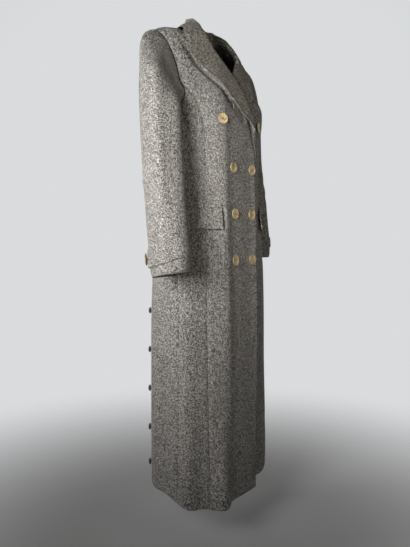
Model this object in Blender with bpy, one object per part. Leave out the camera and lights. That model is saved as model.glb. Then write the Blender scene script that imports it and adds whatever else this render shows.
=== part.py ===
"""Long double-breasted redingote of flecked tweed, hollow and in the shape it has when worn.

Metres. X runs to the wearer's left, -Y is the front and +Z is up. The origin is the middle of
the neck opening at shoulder height, where the wearer carries the coat.
"""

import math
from collections import namedtuple

import bpy
import numpy as np
from mathutils import Vector
from mathutils.bvhtree import BVHTree

# Cloth and clearances
CLOTH = 0.0022
SEAM_GAP = 0.0007
ROLL_GAP = 0.0016
LAYER_GAP = 0.0013
SHOULDER_TIP = 0.200
SHOULDER_TOP = 0.0114
SHOULDER_DROP = 0.0790
DROP_STARTS, DROP_FULL = -0.27, -0.02
NECK_SIDE = 0.079
LEFT_SHOULDER_BACK = 0.026

# Front: lap, roll line and buttons
HEM = -1.287
LAP = 0.063
UNDERLAP_SINK = 0.0078
UNDERLAP_HEM_RISE = 0.026
BACK_HEM_RISE = 0.030
BACK_RISE_STARTS = -1.16
ARMHOLE_FRONT = -0.170
CHEST = -0.300
UNDERARM = -0.250
SIDE_SEAM_TOP = 90.0

RIGHT, LEFT = -1, 1
SIDES = {"right": RIGHT, "left": LEFT}

# Rings of the body cloth's inner face, from the hem up to the line of the shoulder seams
Ring = namedtuple("Ring", "level half_width front back middle front_square back_square")
BODY = (
    Ring(HEM, 0.185, 0.118, 0.140, 0.000, 2.45, 2.00),
    Ring(-0.950, 0.185, 0.118, 0.138, 0.000, 2.45, 2.00),
    Ring(-0.720, 0.184, 0.116, 0.132, 0.000, 2.45, 2.05),
    Ring(-0.620, 0.180, 0.114, 0.122, 0.000, 2.45, 2.10),
    Ring(-0.520, 0.171, 0.1135, 0.105, 0.000, 2.45, 2.20),
    Ring(-0.420, 0.163, 0.110, 0.093, 0.000, 2.45, 2.30),
    Ring(-0.330, 0.168, 0.113, 0.096, 0.001, 2.50, 2.40),
    Ring(-0.270, 0.174, 0.114, 0.103, 0.003, 2.50, 2.45),
    Ring(-0.200, 0.174, 0.104, 0.105, 0.006, 2.45, 2.40),
    Ring(-0.139, 0.180, 0.083, 0.098, 0.010, 2.25, 2.20),
    Ring(-0.080, 0.190, 0.071, 0.080, 0.010, 1.95, 1.95),
    Ring(-0.040, 0.196, 0.061, 0.064, 0.010, 1.85, 1.85),
    Ring(-0.015, 0.199, 0.049, 0.047, 0.010, 1.85, 1.85),
    Ring(0.000, 0.200, 0.033, 0.032, 0.010, 1.90, 1.90),
    Ring(0.0085, 0.200, 0.017, 0.017, 0.010, 2.00, 2.00),
    Ring(SHOULDER_TOP, SHOULDER_TIP, 0.000, 0.000, 0.010, 2.00, 2.00),
)

# Soft flutes of the skirt: where, how wide in degrees, how far out, and the level where each starts
Flute = namedtuple("Flute", "turn spread out starts")
FLUTES = (
    Flute(-25, 9, 0.033, -1.06),
    Flute(-47, 8, -0.005, -0.95),
    Flute(-62, 10, 0.007, -0.80),
    Flute(-96, 11, -0.006, -0.75),
    Flute(-152, 12, 0.008, -0.80),
    Flute(168, 11, -0.007, -0.70),
    Flute(140, 10, 0.007, -0.80),
    Flute(104, 11, -0.006, -0.80),
    Flute(66, 10, 0.006, -0.85),
)

# Seams and edges by level. "across" is the distance from the centre line to the piece's own side
Edge = namedtuple("Edge", "level across")
FRONT_SEAM = (
    Edge(HEM, 0.120),
    Edge(-0.770, 0.124),
    Edge(-0.530, 0.122),
    Edge(-0.380, 0.120),
    Edge(-0.300, 0.125),
    Edge(-0.236, 0.138),
    Edge(ARMHOLE_FRONT, 0.1610),
)
FRONT_ARMHOLE = (
    Edge(ARMHOLE_FRONT, 0.1610),
    Edge(-0.140, 0.1630),
    Edge(-0.090, 0.1665),
    Edge(-0.045, 0.1730),
    Edge(-0.012, 0.1825),
    Edge(SHOULDER_TOP, SHOULDER_TIP),
)
BACK_ARMHOLE = (
    Edge(ARMHOLE_FRONT, 0.1540),
    Edge(-0.140, 0.1575),
    Edge(-0.090, 0.1640),
    Edge(-0.045, 0.1725),
    Edge(-0.012, 0.1830),
    Edge(SHOULDER_TOP, SHOULDER_TIP),
)
ROLL_LINE = (
    Edge(-0.376, -LAP),
    Edge(-0.300, -0.0430),
    Edge(-0.220, -0.0190),
    Edge(-0.139, 0.0120),
    Edge(-0.095, 0.0450),
    Edge(-0.050, 0.0695),
    Edge(-0.015, 0.0770),
    Edge(SHOULDER_TOP, NECK_SIDE),
)
Neck = namedtuple("Neck", "across level")
BACK_NECK = (
    Neck(0.000, -0.0160),
    Neck(0.027, -0.0140),
    Neck(0.053, -0.0070),
    Neck(0.069, 0.0035),
    Neck(NECK_SIDE, SHOULDER_TOP),
)
Seam = namedtuple("Seam", "level turn")
SIDE_SEAM = (
    Seam(HEM, 73.0),
    Seam(-0.620, 76.0),
    Seam(-0.420, 84.0),
    Seam(UNDERARM, SIDE_SEAM_TOP),
)
BACK_SEAM = (
    Seam(HEM, 129.0),
    Seam(-0.620, 129.0),
    Seam(-0.420, 132.0),
    Seam(CHEST, 127.0),
    Seam(ARMHOLE_FRONT, 121.0),
)

# Lapel rows from the break up to the gorge: roll line, free edge when folded flat, fold and its radius
Lapel = namedtuple("Lapel", "roll edge_across edge_level fold radius")
LAPEL = (
    Lapel(-0.372, -0.0585, -0.3735, 70, 0.0030),
    Lapel(-0.340, -0.0400, -0.3430, 138, 0.0045),
    Lapel(-0.308, -0.0190, -0.3130, 150, 0.0055),
    Lapel(-0.278, 0.0010, -0.2870, 160, 0.0055),
    Lapel(-0.242, 0.0255, -0.2560, 175, 0.0050),
    Lapel(-0.205, 0.0530, -0.2230, 180, 0.0042),
    Lapel(-0.166, 0.0770, -0.1810, 180, 0.0036),
    Lapel(-0.125, 0.1030, -0.1390, 180, 0.0032),
    Lapel(-0.085, 0.1330, -0.0860, 180, 0.0030),
    Lapel(-0.050, 0.1500, -0.0410, 180, 0.0030),
)
LAPEL_ROWS = 16
COVERED_LAPEL_RADIUS = 0.0020
GORGE_ROLL = -0.0480
COLLAR_CORNER = (0.1360, -0.0320)

# Collar from the gorge round to the nape: stand height, and where the fall's edge lies on the body
SHOULDER_STATION = 0.32
Collar = namedtuple("Collar", "station stand edge_across edge_level edge_lift")
COLLAR = (
    Collar(0.00, 0.000, 0.1360, -0.0320, 0.0046),
    Collar(0.16, 0.002, 0.1300, -0.0060, 0.0070),
    Collar(0.26, 0.004, 0.1210, 0.0050, 0.0084),
    Collar(SHOULDER_STATION, 0.014, 0.1150, SHOULDER_TOP, 0.0092),
    Collar(0.40, 0.029, 0.1050, 0.0020, 0.0102),
    Collar(0.52, 0.035, 0.0900, -0.0120, 0.0120),
    Collar(0.72, 0.037, 0.0620, -0.0280, 0.0150),
    Collar(0.87, 0.040, 0.0320, -0.0340, 0.0160),
    Collar(1.00, 0.041, 0.0000, -0.0350, 0.0160),
)
COLLAR_STATIONS = (0.00, 0.09, 0.17, 0.23, 0.28, SHOULDER_STATION, 0.37, 0.44, 0.54, 0.68, 0.84, 1.00)
COLLAR_RADIUS = 0.0036

# Arm rings of each sleeve, from the biceps down to the cuff
Arm = namedtuple("Arm", "z across y wide deep tilt")
ARMS = {
    RIGHT: (
        Arm(-0.690, 0.2580, -0.093, 0.0395, 0.0480, 0.16),
        Arm(-0.610, 0.2520, -0.079, 0.0408, 0.0522, 0.16),
        Arm(-0.490, 0.2430, -0.058, 0.0420, 0.0533, 0.12),
        Arm(-0.360, 0.2360, -0.040, 0.0435, 0.0555, 0.05),
        Arm(-0.275, 0.2320, -0.031, 0.0440, 0.0563, 0.00),
    ),
    LEFT: (
        Arm(-0.660, 0.2570, 0.028, 0.0395, 0.0480, -0.04),
        Arm(-0.610, 0.2520, 0.029, 0.0408, 0.0522, -0.04),
        Arm(-0.520, 0.2470, 0.034, 0.0415, 0.0530, -0.04),
        Arm(-0.450, 0.2430, 0.037, 0.0420, 0.0535, -0.03),
        Arm(-0.360, 0.2360, 0.048, 0.0435, 0.0555, 0.00),
        Arm(-0.275, 0.2320, 0.050, 0.0440, 0.0563, 0.00),
    ),
}
CUFF = {RIGHT: -0.678, LEFT: -0.650}
BICEPS = -0.275
CAP_STEPS = 6
ARM_STEPS = 8

# Cuff tab round the outside of the sleeve: angle from straight out, forward positive
Tab = namedtuple("Tab", "angle top bottom")
TAB = (
    Tab(-72, 0.064, 0.030),
    Tab(-60, 0.066, 0.025),
    Tab(0, 0.066, 0.025),
    Tab(60, 0.063, 0.033),
    Tab(150, 0.061, 0.037),
)
TAB_BUTTON_ANGLE = -52

# Pocket flap and its jet, on the front below the waist
FLAP_TOP, FLAP_BOTTOM = -0.5107, -0.5665
FLAP_FRONT, FLAP_LENGTH_TURN = 0.0860, 46.0
JET_TOP = -0.5015

# Buttons
FRONT_BUTTON, BACK_BUTTON = 0.0300, 0.0170
BUTTON_ROWS = ((-0.277, 0.081), (-0.401, 0.041), (-0.525, 0.037), (-0.649, 0.037))
BACK_BUTTON_LEVELS = (-0.787, -0.893, -0.999, -1.105, -1.211)

LOW_LEVELS = (HEM, -1.255, -1.19, -1.11, -1.02, -0.92, -0.82, -0.73)
LOW_LEVELS += (-0.66, -0.60, -0.54, -0.48, -0.42, -0.36, CHEST)
ARMHOLE_PARTS = (0.36, 0.70, 1.00)
YOKE_PARTS = (0.20, 0.40, 0.60, 0.77, 0.89, 0.965, 1.00)


def read(table, column, at):
    """One column of a table between its rows, on a smooth curve."""
    places = np.array([row[0] for row in table])
    values = np.array([getattr(row, column) for row in table])
    slopes = np.gradient(values, places)
    at = min(max(at, places[0]), places[-1])
    i = min(max(int(np.searchsorted(places, at)) - 1, 0), len(places) - 2)
    step = places[i + 1] - places[i]
    t = (at - places[i]) / step
    start = (2 * t**3 - 3 * t**2 + 1) * values[i] + (t**3 - 2 * t**2 + t) * step * slopes[i]
    return start + (3 * t**2 - 2 * t**3) * values[i + 1] + (t**3 - t**2) * step * slopes[i + 1]


def ease(at, low, high):
    """0 at low, 1 at high, with a soft start and end."""
    t = min(max((at - low) / (high - low), 0.0), 1.0)
    return t * t * (3 - 2 * t)


def unit(vector):
    return vector / np.linalg.norm(vector)


def flute_out(turn, level):
    out = 0.0
    for flute in FLUTES:
        away = (turn - flute.turn + 180) % 360 - 180
        out += flute.out * math.exp(-((away / flute.spread) ** 2)) * ease(level, flute.starts, HEM)
    return out


def hem_rise(turn, level):
    """The left front hangs a little shorter than the right one that covers it."""
    return UNDERLAP_HEM_RISE * (1 - ease(turn, 35, 75)) * ease(level, -0.95, HEM)


def back_rise(turn, level):
    """The hem climbs at the sides and stays higher across the back."""
    round_to = (turn + 180) % 360 - 180
    share = ease(round_to, 35, 75) if round_to > 0 else ease(-round_to, 50, 95)
    return BACK_HEM_RISE * share * ease(level, BACK_RISE_STARTS, HEM)


def body_point(turn, level):
    """Inner face of the body cloth, turned in degrees from the centre front to the wearer's left."""
    wide = read(BODY, "half_width", level)
    side, ahead = math.sin(math.radians(turn)), math.cos(math.radians(turn))
    half = "front" if ahead >= 0 else "back"
    depth = read(BODY, half, level)
    power = 2 / read(BODY, half + "_square", level)
    x = wide * math.copysign(abs(side) ** power, side)
    y = -depth * math.copysign(abs(ahead) ** power, ahead)
    out = flute_out(turn, level)
    if out:
        way = np.array([x / wide**2, y / depth**2])
        x, y = np.array([x, y]) + out * unit(way)
    drop = SHOULDER_DROP * ease(level, DROP_STARTS, DROP_FULL)
    drop *= (math.hypot(x, 0.03) - 0.03) / SHOULDER_TIP
    carried = LEFT_SHOULDER_BACK * ease(x, 0.0, 0.16) * ease(level, -0.23, -0.05)
    z = level - drop + back_rise(turn, level)
    return np.array([x, y + read(BODY, "middle", level) + carried, z])


def body_normal(turn, level):
    """Outward direction of the body cloth."""
    round_body = body_point(turn + 0.4, level) - body_point(turn - 0.4, level)
    upward = body_point(turn, min(level + 0.003, SHOULDER_TOP)) - body_point(turn, level - 0.003)
    return unit(np.cross(round_body, upward))


def body_place(turn, level, lift=0.0):
    return body_point(turn, level) + lift * body_normal(turn, level)


def turn_at(across, level, half="front"):
    """Degrees from the centre front, or the centre back, of a point this far from the centre line."""
    part = min(abs(across) / read(BODY, "half_width", level), 1.0)
    turn = math.degrees(math.asin(part ** (read(BODY, half + "_square", level) / 2)))
    return math.copysign(turn, across)


def across_at(turn, level):
    """Distance from the centre line of a point this far round from the centre front."""
    side = math.sin(math.radians(turn))
    part = abs(side) ** (2 / read(BODY, "front_square", level))
    return math.copysign(read(BODY, "half_width", level) * part, side)


def front_edge(level):
    """The front's inner edge: the lap up to the break, then the roll line."""
    return -LAP if level <= ROLL_LINE[0].level else read(ROLL_LINE, "across", level)


def front_sink(side, across, level):
    """How far the left front lies behind the right one where that covers it."""
    if side == RIGHT:
        return 0.0
    covered = 1 - ease(across, 0.055, 0.105)
    return -UNDERLAP_SINK * covered * (1 - ease(level, -0.150, -0.050))


def front_place(side, across, level, lift=0.0):
    """A point of a front, counted across from the centre line to that front's own side."""
    lift += front_sink(side, across, level)
    return body_place(side * turn_at(across, level), level, lift)


def seam_turn(level):
    """Half the gap of a seam, in degrees."""
    return math.degrees(SEAM_GAP / 2 / read(BODY, "half_width", level))


def front_seam_turn(level):
    table = FRONT_SEAM if level <= ARMHOLE_FRONT else FRONT_ARMHOLE
    return turn_at(read(table, "across", level), level)


def armhole_level(turn):
    """Level of the lower armhole between the front seam and the back seam, turned from the front."""
    limit = front_seam_turn(ARMHOLE_FRONT) if turn < SIDE_SEAM_TOP else BACK_SEAM[-1].turn
    part = (turn - SIDE_SEAM_TOP) / (limit - SIDE_SEAM_TOP)
    return UNDERARM + (ARMHOLE_FRONT - UNDERARM) * abs(part) ** 2.2


def new_object(name, points, faces, material):
    mesh = bpy.data.meshes.new(name)
    mesh.from_pydata([tuple(point) for point in points], [], faces)
    mesh.materials.append(material)
    made = bpy.data.objects.new(name, mesh)
    bpy.context.scene.collection.objects.link(made)
    return made


def closed_faces(points, faces):
    """The faces, turned round if they enclose their volume inside out."""
    volume = 0.0
    for face in faces:
        for second, third in zip(face[1:-1], face[2:]):
            volume += np.dot(points[face[0]], np.cross(points[second], points[third]))
    return faces if volume > 0 else [face[::-1] for face in faces]


def wall(name, inner, outer, material):
    """Closed cloth between two grids of points."""
    inner, outer = np.asarray(inner), np.asarray(outer)
    rows, columns = inner.shape[:2]
    points = np.concatenate([inner.reshape(-1, 3), outer.reshape(-1, 3)])
    shift = rows * columns
    faces = []
    for i in range(rows - 1):
        for j in range(columns - 1):
            a, b = i * columns + j, (i + 1) * columns + j
            faces.append((a, a + 1, b + 1, b))
            faces.append((b + shift, b + 1 + shift, a + 1 + shift, a + shift))
    border = [j for j in range(columns)]
    border += [i * columns + columns - 1 for i in range(1, rows)]
    border += [(rows - 1) * columns + j for j in range(columns - 2, -1, -1)]
    border += [i * columns for i in range(rows - 2, 0, -1)]
    for a, b in zip(border, border[1:] + border[:1]):
        faces.append((b, a, a + shift, b + shift))
    return new_object(name, points, closed_faces(points, faces), material)


def mid_wall(name, grid, material, thickness=CLOTH):
    """Closed cloth with the grid in the middle of its thickness."""
    grid = np.asarray(grid)
    along = np.gradient(grid, axis=0)
    beside = np.gradient(grid, axis=1)
    normals = np.cross(along, beside)
    normals /= np.linalg.norm(normals, axis=2, keepdims=True)
    return wall(name, grid - normals * thickness / 2, grid + normals * thickness / 2, material)


def body_wall(name, grid, material):
    """Closed cloth from a grid of (turn, level, lift) on the body."""
    inner = [[body_place(turn, level, lift) for turn, level, lift in row] for row in grid]
    outer = [[body_place(turn, level, lift + CLOTH) for turn, level, lift in row] for row in grid]
    return wall(name, inner, outer, material)


def raised(turn, level, side):
    """Level of a row where the hem rises; only the left front is shorter."""
    return level + hem_rise(turn, level) if side == LEFT and turn >= -35 else level


def front_levels():
    low = list(LOW_LEVELS)
    low += [CHEST + part * (ARMHOLE_FRONT - CHEST) for part in ARMHOLE_PARTS]
    return low + [ARMHOLE_FRONT + part * (SHOULDER_TOP - ARMHOLE_FRONT) for part in YOKE_PARTS]


FRONT_COLUMNS = (0.0, 0.10, 0.22, 0.34, 0.46, 0.58, 0.70, 0.80, 0.90, 1.0)


def front_panel(side, name, material):
    grid = []
    for level in front_levels():
        inner = turn_at(front_edge(level), level)
        outer = front_seam_turn(level) - seam_turn(level)
        row = []
        for part in FRONT_COLUMNS:
            own = inner + (outer - inner) * part
            sink = front_sink(side, across_at(own, level), level)
            row.append((side * own, raised(own, level, side), sink))
        grid.append(row)
    grid[-1] = [(turn, level - 0.0004, lift) for turn, level, lift in grid[-1]]
    return body_wall(name, grid, material)


def side_panel(side, name, first, last, columns, material):
    """A panel below the armhole, between two seams given as turns by level."""
    grid = []
    for level in LOW_LEVELS:
        row = []
        for part in np.linspace(0, 1, columns):
            own = first(level) + seam_turn(level)
            own += (last(level) - first(level) - 2 * seam_turn(level)) * part
            row.append((side * own, raised(own, level, side), 0.0))
        grid.append(row)
    for rise in ARMHOLE_PARTS:
        row = []
        for part in np.linspace(0, 1, columns):
            top_own = first(ARMHOLE_FRONT) + (last(ARMHOLE_FRONT) - first(ARMHOLE_FRONT)) * part
            level = CHEST + rise * (armhole_level(top_own) - CHEST)
            own = first(level) + seam_turn(level)
            own += (last(level) - first(level) - 2 * seam_turn(level)) * part
            row.append((side * own, level, 0.0))
        grid.append(row)
    made = body_wall(name, grid, material)
    return made, [body_point(turn, level) for turn, level, _ in grid[-1]]


def side_seam_turn(level):
    return read(SIDE_SEAM, "turn", level)


def back_seam_turn(level):
    if level <= ARMHOLE_FRONT:
        return read(BACK_SEAM, "turn", level)
    return 180 - turn_at(read(BACK_ARMHOLE, "across", level), level, "back")


BACK_COLUMNS = (0.0, 0.13, 0.26, NECK_SIDE / SHOULDER_TIP, 0.52, 0.66, 0.83, 1.0)


def back_panel(material):
    low = list(LOW_LEVELS) + [CHEST + part * (ARMHOLE_FRONT - CHEST) for part in ARMHOLE_PARTS]
    parts = [-part for part in BACK_COLUMNS[:0:-1]] + list(BACK_COLUMNS)
    grid = []
    for level in low:
        reach = 180 - back_seam_turn(level) - seam_turn(level)
        grid.append([(180 - reach * part, level, 0.0) for part in parts])
    for rise in YOKE_PARTS:
        row = []
        for part in parts:
            own = abs(part)
            blend = ease(rise, 0.0, 1.0)
            top_across = own * SHOULDER_TIP
            top = SHOULDER_TOP
            if top_across < NECK_SIDE - 1e-6:
                top = read(BACK_NECK, "level", top_across)
            level = ARMHOLE_FRONT + rise * (top - ARMHOLE_FRONT)
            edge = ARMHOLE_FRONT + rise * (SHOULDER_TOP - ARMHOLE_FRONT)
            by_turn = (180 - back_seam_turn(edge)) * own
            by_width = turn_at(own * read(BACK_ARMHOLE, "across", edge), level, "back")
            turn = by_turn * (1 - blend) + by_width * blend - seam_turn(level) * (own == 1.0)
            row.append((180 - math.copysign(turn, part), level - 0.0004 * (rise == 1.0), 0.0))
        grid.append(row)
    return body_wall("back", grid, material)


def lapel_profile(side, row, covered):
    """Points of one lapel row: round the roll line, then back over the front to the free edge."""
    start = np.array([read(ROLL_LINE, "across", row.roll), row.roll])
    reach = np.array([row.edge_across, row.edge_level]) - start
    width = np.linalg.norm(reach)
    way = reach / width
    radius, fold = row.radius, math.radians(row.fold)
    if covered:
        shown = ease(row.roll, -0.135, -0.085)
        radius = COVERED_LAPEL_RADIUS * (1 - shown) + row.radius * shown
        fold = math.pi
    rest = CLOTH * 1.5 + LAYER_GAP
    points = []
    for part in (0.0, 0.25, 0.5, 0.75, 1.0):
        angle = fold * part
        high = CLOTH / 2 + radius * (1 - math.cos(angle))
        points.append((-radius * math.sin(angle) - ROLL_GAP, high))
    straight = max(width - radius * fold, 0.002)
    flat = ease(math.degrees(fold), 150, 180)
    for part in (0.10, 0.26, 0.44, 0.62, 0.81, 1.0):
        away = -radius * math.sin(fold) - ROLL_GAP - straight * part * math.cos(fold)
        high = points[4][1] + straight * part * math.sin(fold)
        settled = rest + max(points[4][1] - rest, 0.0) * (1 - ease(part, 0.0, 0.85))
        points.append((away, high * (1 - flat) + settled * flat))
    places = []
    for away, high in points:
        across, level = start + way * away
        places.append(front_place(side, across, level, high))
    return places


def lapel_row(roll):
    return Lapel(roll, *[read(LAPEL, column, roll) for column in Lapel._fields[1:]])


def lapel(side, name, material):
    rolls = np.linspace(LAPEL[0].roll, LAPEL[-1].roll, LAPEL_ROWS)
    grid = [lapel_profile(side, lapel_row(roll), side == LEFT) for roll in rolls]
    return mid_wall(name, grid, material)


def neckline(side, station):
    """Neck edge of the body: the roll line from the gorge to the shoulder, then the back neck."""
    if station < SHOULDER_STATION:
        level = GORGE_ROLL + (SHOULDER_TOP - GORGE_ROLL) * station / SHOULDER_STATION
        turn = turn_at(read(ROLL_LINE, "across", level), level)
    else:
        across = NECK_SIDE * (1 - station) / (1 - SHOULDER_STATION)
        level = read(BACK_NECK, "level", across)
        turn = 180 - turn_at(across, level, "back")
    return side * turn, level


def collar_stand(side, station):
    """Foot of the stand, the way it rises and the way it faces."""
    turn, level = neckline(side, station)
    foot = body_place(turn, level, CLOTH / 2)
    out = body_normal(turn, level)
    if station > 0.985:
        beside = np.array([-1.0, 0.0, 0.0]) * side
    else:
        before = body_point(*neckline(side, max(station - 0.03, 0.0)))
        after = body_point(*neckline(side, min(station + 0.03, 1.0)))
        beside = unit(after - before)
    rise = unit(np.cross(beside, out)) * side * -1
    upright = ease(station, 0.10, 0.45)
    rise = unit(rise * (1 - upright) + np.array([0.0, -0.06, 1.0]) * upright)
    out = unit(out - np.dot(out, rise) * rise)
    level_out = unit(np.array([foot[0], foot[1] - 0.005, 0.0]))
    out = unit(out * (1 - upright) + level_out * upright)
    return foot, rise, out


def collar_edge(side, station):
    """The fall's free edge, standing a little off the shoulder."""
    across = read(COLLAR, "edge_across", station)
    level = min(read(COLLAR, "edge_level", station), SHOULDER_TOP)
    turn = turn_at(across, level)
    if station > SHOULDER_STATION:
        turn = 180 - turn_at(across, level, "back")
    return body_place(side * turn, level, read(COLLAR, "edge_lift", station))


def collar_section(side, station):
    foot, rise, out = collar_stand(side, station)
    stand = read(COLLAR, "stand", station)
    radius = COLLAR_RADIUS
    foot = foot + rise * (ROLL_GAP + CLOTH * 0.7 * ease(station, 0.05, 0.40))
    points = [foot, foot + rise * (stand * 0.5 + 0.0006), foot + rise * (stand + 0.0012)]
    centre = points[2] + out * radius
    for angle in (45, 90, 135, 180):
        angle = math.radians(angle)
        points.append(centre + radius * (math.sin(angle) * rise - math.cos(angle) * out))
    edge = collar_edge(side, station)
    start = points[-1]
    for part in (0.2, 0.4, 0.6, 0.8, 1.0):
        bulge = 0.004 * math.sin(math.pi * part)
        points.append(start + (edge - start) * part + bulge * unit(out + rise * 0.5))
    return np.array(points)


def collar_gorge(side):
    """The collar's front end, lying along the lapel's top edge."""
    row = Lapel(GORGE_ROLL, *COLLAR_CORNER, 180, COLLAR_RADIUS)
    points = lapel_profile(side, row, False)
    foot = [points[0], (points[0] + points[1]) / 2]
    fall = [(points[4] + points[5]) / 2] + points[6:]
    return np.array(foot + points[1:5] + fall)


def collar(material):
    grid = []
    for side in (RIGHT, LEFT):
        mend = collar_gorge(side) - collar_section(side, 0.0)
        half = [collar_section(side, s) + mend * (1 - ease(s, 0.0, 0.30)) for s in COLLAR_STATIONS]
        grid += half if side == RIGHT else half[-2::-1]
    return mid_wall("collar", grid, material)


def arm_point(side, z, angle, lift=0.0):
    """Inner face of a sleeve's tube; angle is from straight out, forward positive."""
    table = ARMS[side]
    wide, deep = read(table, "wide", z) + lift, read(table, "deep", z) + lift
    out, ahead = math.cos(math.radians(angle)), math.sin(math.radians(angle))
    across = read(table, "across", z) + wide * out
    y = read(table, "y", z) - deep * ahead
    return np.array([side * across, y, z + read(table, "tilt", z) * deep * ahead])


def armhole_loop(side, front_top, back_top):
    """Armhole points from the shoulder tip down the front, under the arm and up the back."""
    yoke = [ARMHOLE_FRONT + part * (SHOULDER_TOP - ARMHOLE_FRONT) for part in YOKE_PARTS]
    front = [body_point(side * front_seam_turn(level), level) for level in yoke[::-1]]
    back = [body_point(side * back_seam_turn(level), level) for level in yoke]
    return front + front_top + back_top[1:] + back


def sleeve(side, name, loop, material):
    """Upper and under sleeve, from the armhole down to the cuff."""
    count = len(loop) - 1
    steps = np.linalg.norm(np.diff(np.array(loop), axis=0), axis=1)
    lengths = np.concatenate([[0], np.cumsum(steps)])
    low = int(np.argmin([point[2] for point in loop]))
    fore, aft = lengths[low], lengths[-1] - lengths[low]
    angles = [180 * length / fore for length in lengths[: low + 1]]
    angles += [180 + 180 * (length - fore) / aft for length in lengths[low + 1 :]]
    columns = []
    for point, angle in zip(loop, angles):
        under = (1 - math.cos(math.radians(angle))) / 2
        start = point + np.array([side * (0.0030 + 0.0020 * under**2), 0.0, 0.0045 * under**3])
        end = arm_point(side, BICEPS, angle)
        span = np.linalg.norm(end - start)
        leave = np.array([side, 0.0, -0.24]) * span * (1.15 - 0.25 * under)
        arrive = unit(arm_point(side, BICEPS - 0.02, angle) - end) * span * 1.1
        column = []
        for t in np.linspace(0, 1, CAP_STEPS + 1):
            hermite = (2 * t**3 - 3 * t**2 + 1) * start + (t**3 - 2 * t**2 + t) * leave
            column.append(hermite + (3 * t**2 - 2 * t**3) * end + (t**3 - t**2) * arrive)
        for z in np.linspace(BICEPS, CUFF[side], ARM_STEPS + 1)[1:]:
            column.append(arm_point(side, z, angle))
        columns.append(column)
    grid = np.array(columns).transpose(1, 0, 2)
    normals = sleeve_normals(grid)
    front_cut = min(range(count + 1), key=lambda k: abs(angles[k] - 128))
    back_cut = min(range(count + 1), key=lambda k: abs(angles[k] - 282))
    upper = list(range(back_cut, count)) + list(range(0, front_cut + 1))
    under = list(range(front_cut, back_cut + 1))
    for piece, order in (("upper", upper), ("under", under)):
        inner = grid[:, order].copy()
        outer = inner + normals[:, order] * CLOTH
        for edge, beside in ((0, 1), (-1, -2)):
            way = inner[:, beside] - inner[:, edge]
            way *= SEAM_GAP * 1.4 / np.linalg.norm(way, axis=1, keepdims=True)
            inner[:, edge] += way
            outer[:, edge] += way
        wall(f"{name}_{piece}_sleeve", inner, outer, material)


def sleeve_normals(grid):
    """Outward normals of a sleeve's closed rings."""
    ring = grid[:, :-1]
    beside = np.roll(ring, -1, axis=1) - np.roll(ring, 1, axis=1)
    along = np.gradient(ring, axis=0)
    normals = np.cross(beside, along)
    normals /= np.linalg.norm(normals, axis=2, keepdims=True)
    middle = ring.mean(axis=1, keepdims=True)
    if (normals[-1] * (ring - middle)[-1]).sum() < 0:
        normals = -normals
    return np.concatenate([normals, normals[:, :1]], axis=1)


def cuff_tab(side, name, material):
    grid = []
    for angle in np.linspace(TAB[0].angle, TAB[-1].angle, 16):
        top = CUFF[side] + read(TAB, "top", angle)
        bottom = CUFF[side] + read(TAB, "bottom", angle)
        column = []
        for part in (0.0, 0.5, 1.0):
            lift = CLOTH * 1.5 + 0.0009 + 0.0016 * part * ease(-angle, -90, 40)
            column.append(arm_point(side, top + (bottom - top) * part, angle, lift))
        grid.append(column)
    return mid_wall(f"{name}_cuff_tab", grid, material)


def pocket_piece(side, name, top, bottom, rows, material):
    """Cloth on the body's outside between two levels, from the front end round to the side."""
    grid = []
    for part in np.linspace(0, 1, rows):
        level = top + (bottom - top) * part
        row = []
        for along in np.linspace(0, 1, 12):
            turn = turn_at(FLAP_FRONT, level) + FLAP_LENGTH_TURN * along
            row.append(body_place(side * turn, level, CLOTH * 1.5 + SEAM_GAP + 0.0008 * part))
        grid.append(row)
    return mid_wall(name, grid, material)


def seat(panel, place, facing):
    """The point of a panel's outside that lies under a button."""
    mesh = panel.data
    corners = [corner.co for corner in mesh.vertices]
    tree = BVHTree.FromPolygons(corners, [face.vertices for face in mesh.polygons])
    hit = tree.ray_cast(Vector(place + 0.03 * facing), Vector(-facing))
    return np.array(hit[0])


def turned_button(name, profile, segments, place, facing, material):
    """A closed turned shape: profile of (radius, height), standing on a cloth along its facing."""
    points = [np.array([0.0, 0.0, profile[0][1]])]
    for radius, height in profile:
        for k in range(segments):
            angle = 2 * math.pi * k / segments
            points.append(np.array([radius * math.cos(angle), radius * math.sin(angle), height]))
    points.append(np.array([0.0, 0.0, profile[-1][1]]))
    faces = []
    for k in range(segments):
        after = (k + 1) % segments
        faces.append((0, 1 + after, 1 + k))
        for ring in range(len(profile) - 1):
            a, b = 1 + ring * segments, 1 + (ring + 1) * segments
            faces.append((a + k, a + after, b + after, b + k))
        last = 1 + (len(profile) - 1) * segments
        faces.append((last + k, last + after, len(points) - 1))
    side_way = unit(np.cross(np.array([0.0, 0.0, 1.0]), facing))
    up_way = np.cross(facing, side_way)
    points = [place + p[0] * side_way + p[1] * up_way + p[2] * facing for p in points]
    return new_object(name, points, closed_faces(np.array(points), faces), material)


def horn_profile(diameter):
    """Thread shank, flat back, rounded rim and a dished face."""
    r = diameter / 2
    return (
        (0.0030, 0.0004),
        (0.0030, 0.0018),
        (0.72 * r, 0.0018),
        (r, 0.0030),
        (0.99 * r, 0.0046),
        (0.86 * r, 0.0056),
        (0.68 * r, 0.0047),
    )


def dome_profile(diameter):
    """Shank and a high rounded head."""
    r = diameter / 2
    return (
        (0.0025, 0.0004),
        (0.0025, 0.0014),
        (0.92 * r, 0.0014),
        (r, 0.0030),
        (0.80 * r, 0.0062),
        (0.42 * r, 0.0080),
    )


def material(name, colour, roughness):
    made = bpy.data.materials.new(name)
    made.use_nodes = True
    shader = made.node_tree.nodes["Principled BSDF"]
    shader.inputs["Base Color"].default_value = (*colour, 1.0)
    shader.inputs["Roughness"].default_value = roughness
    shader.inputs["Metallic"].default_value = 0.0
    return made


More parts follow.
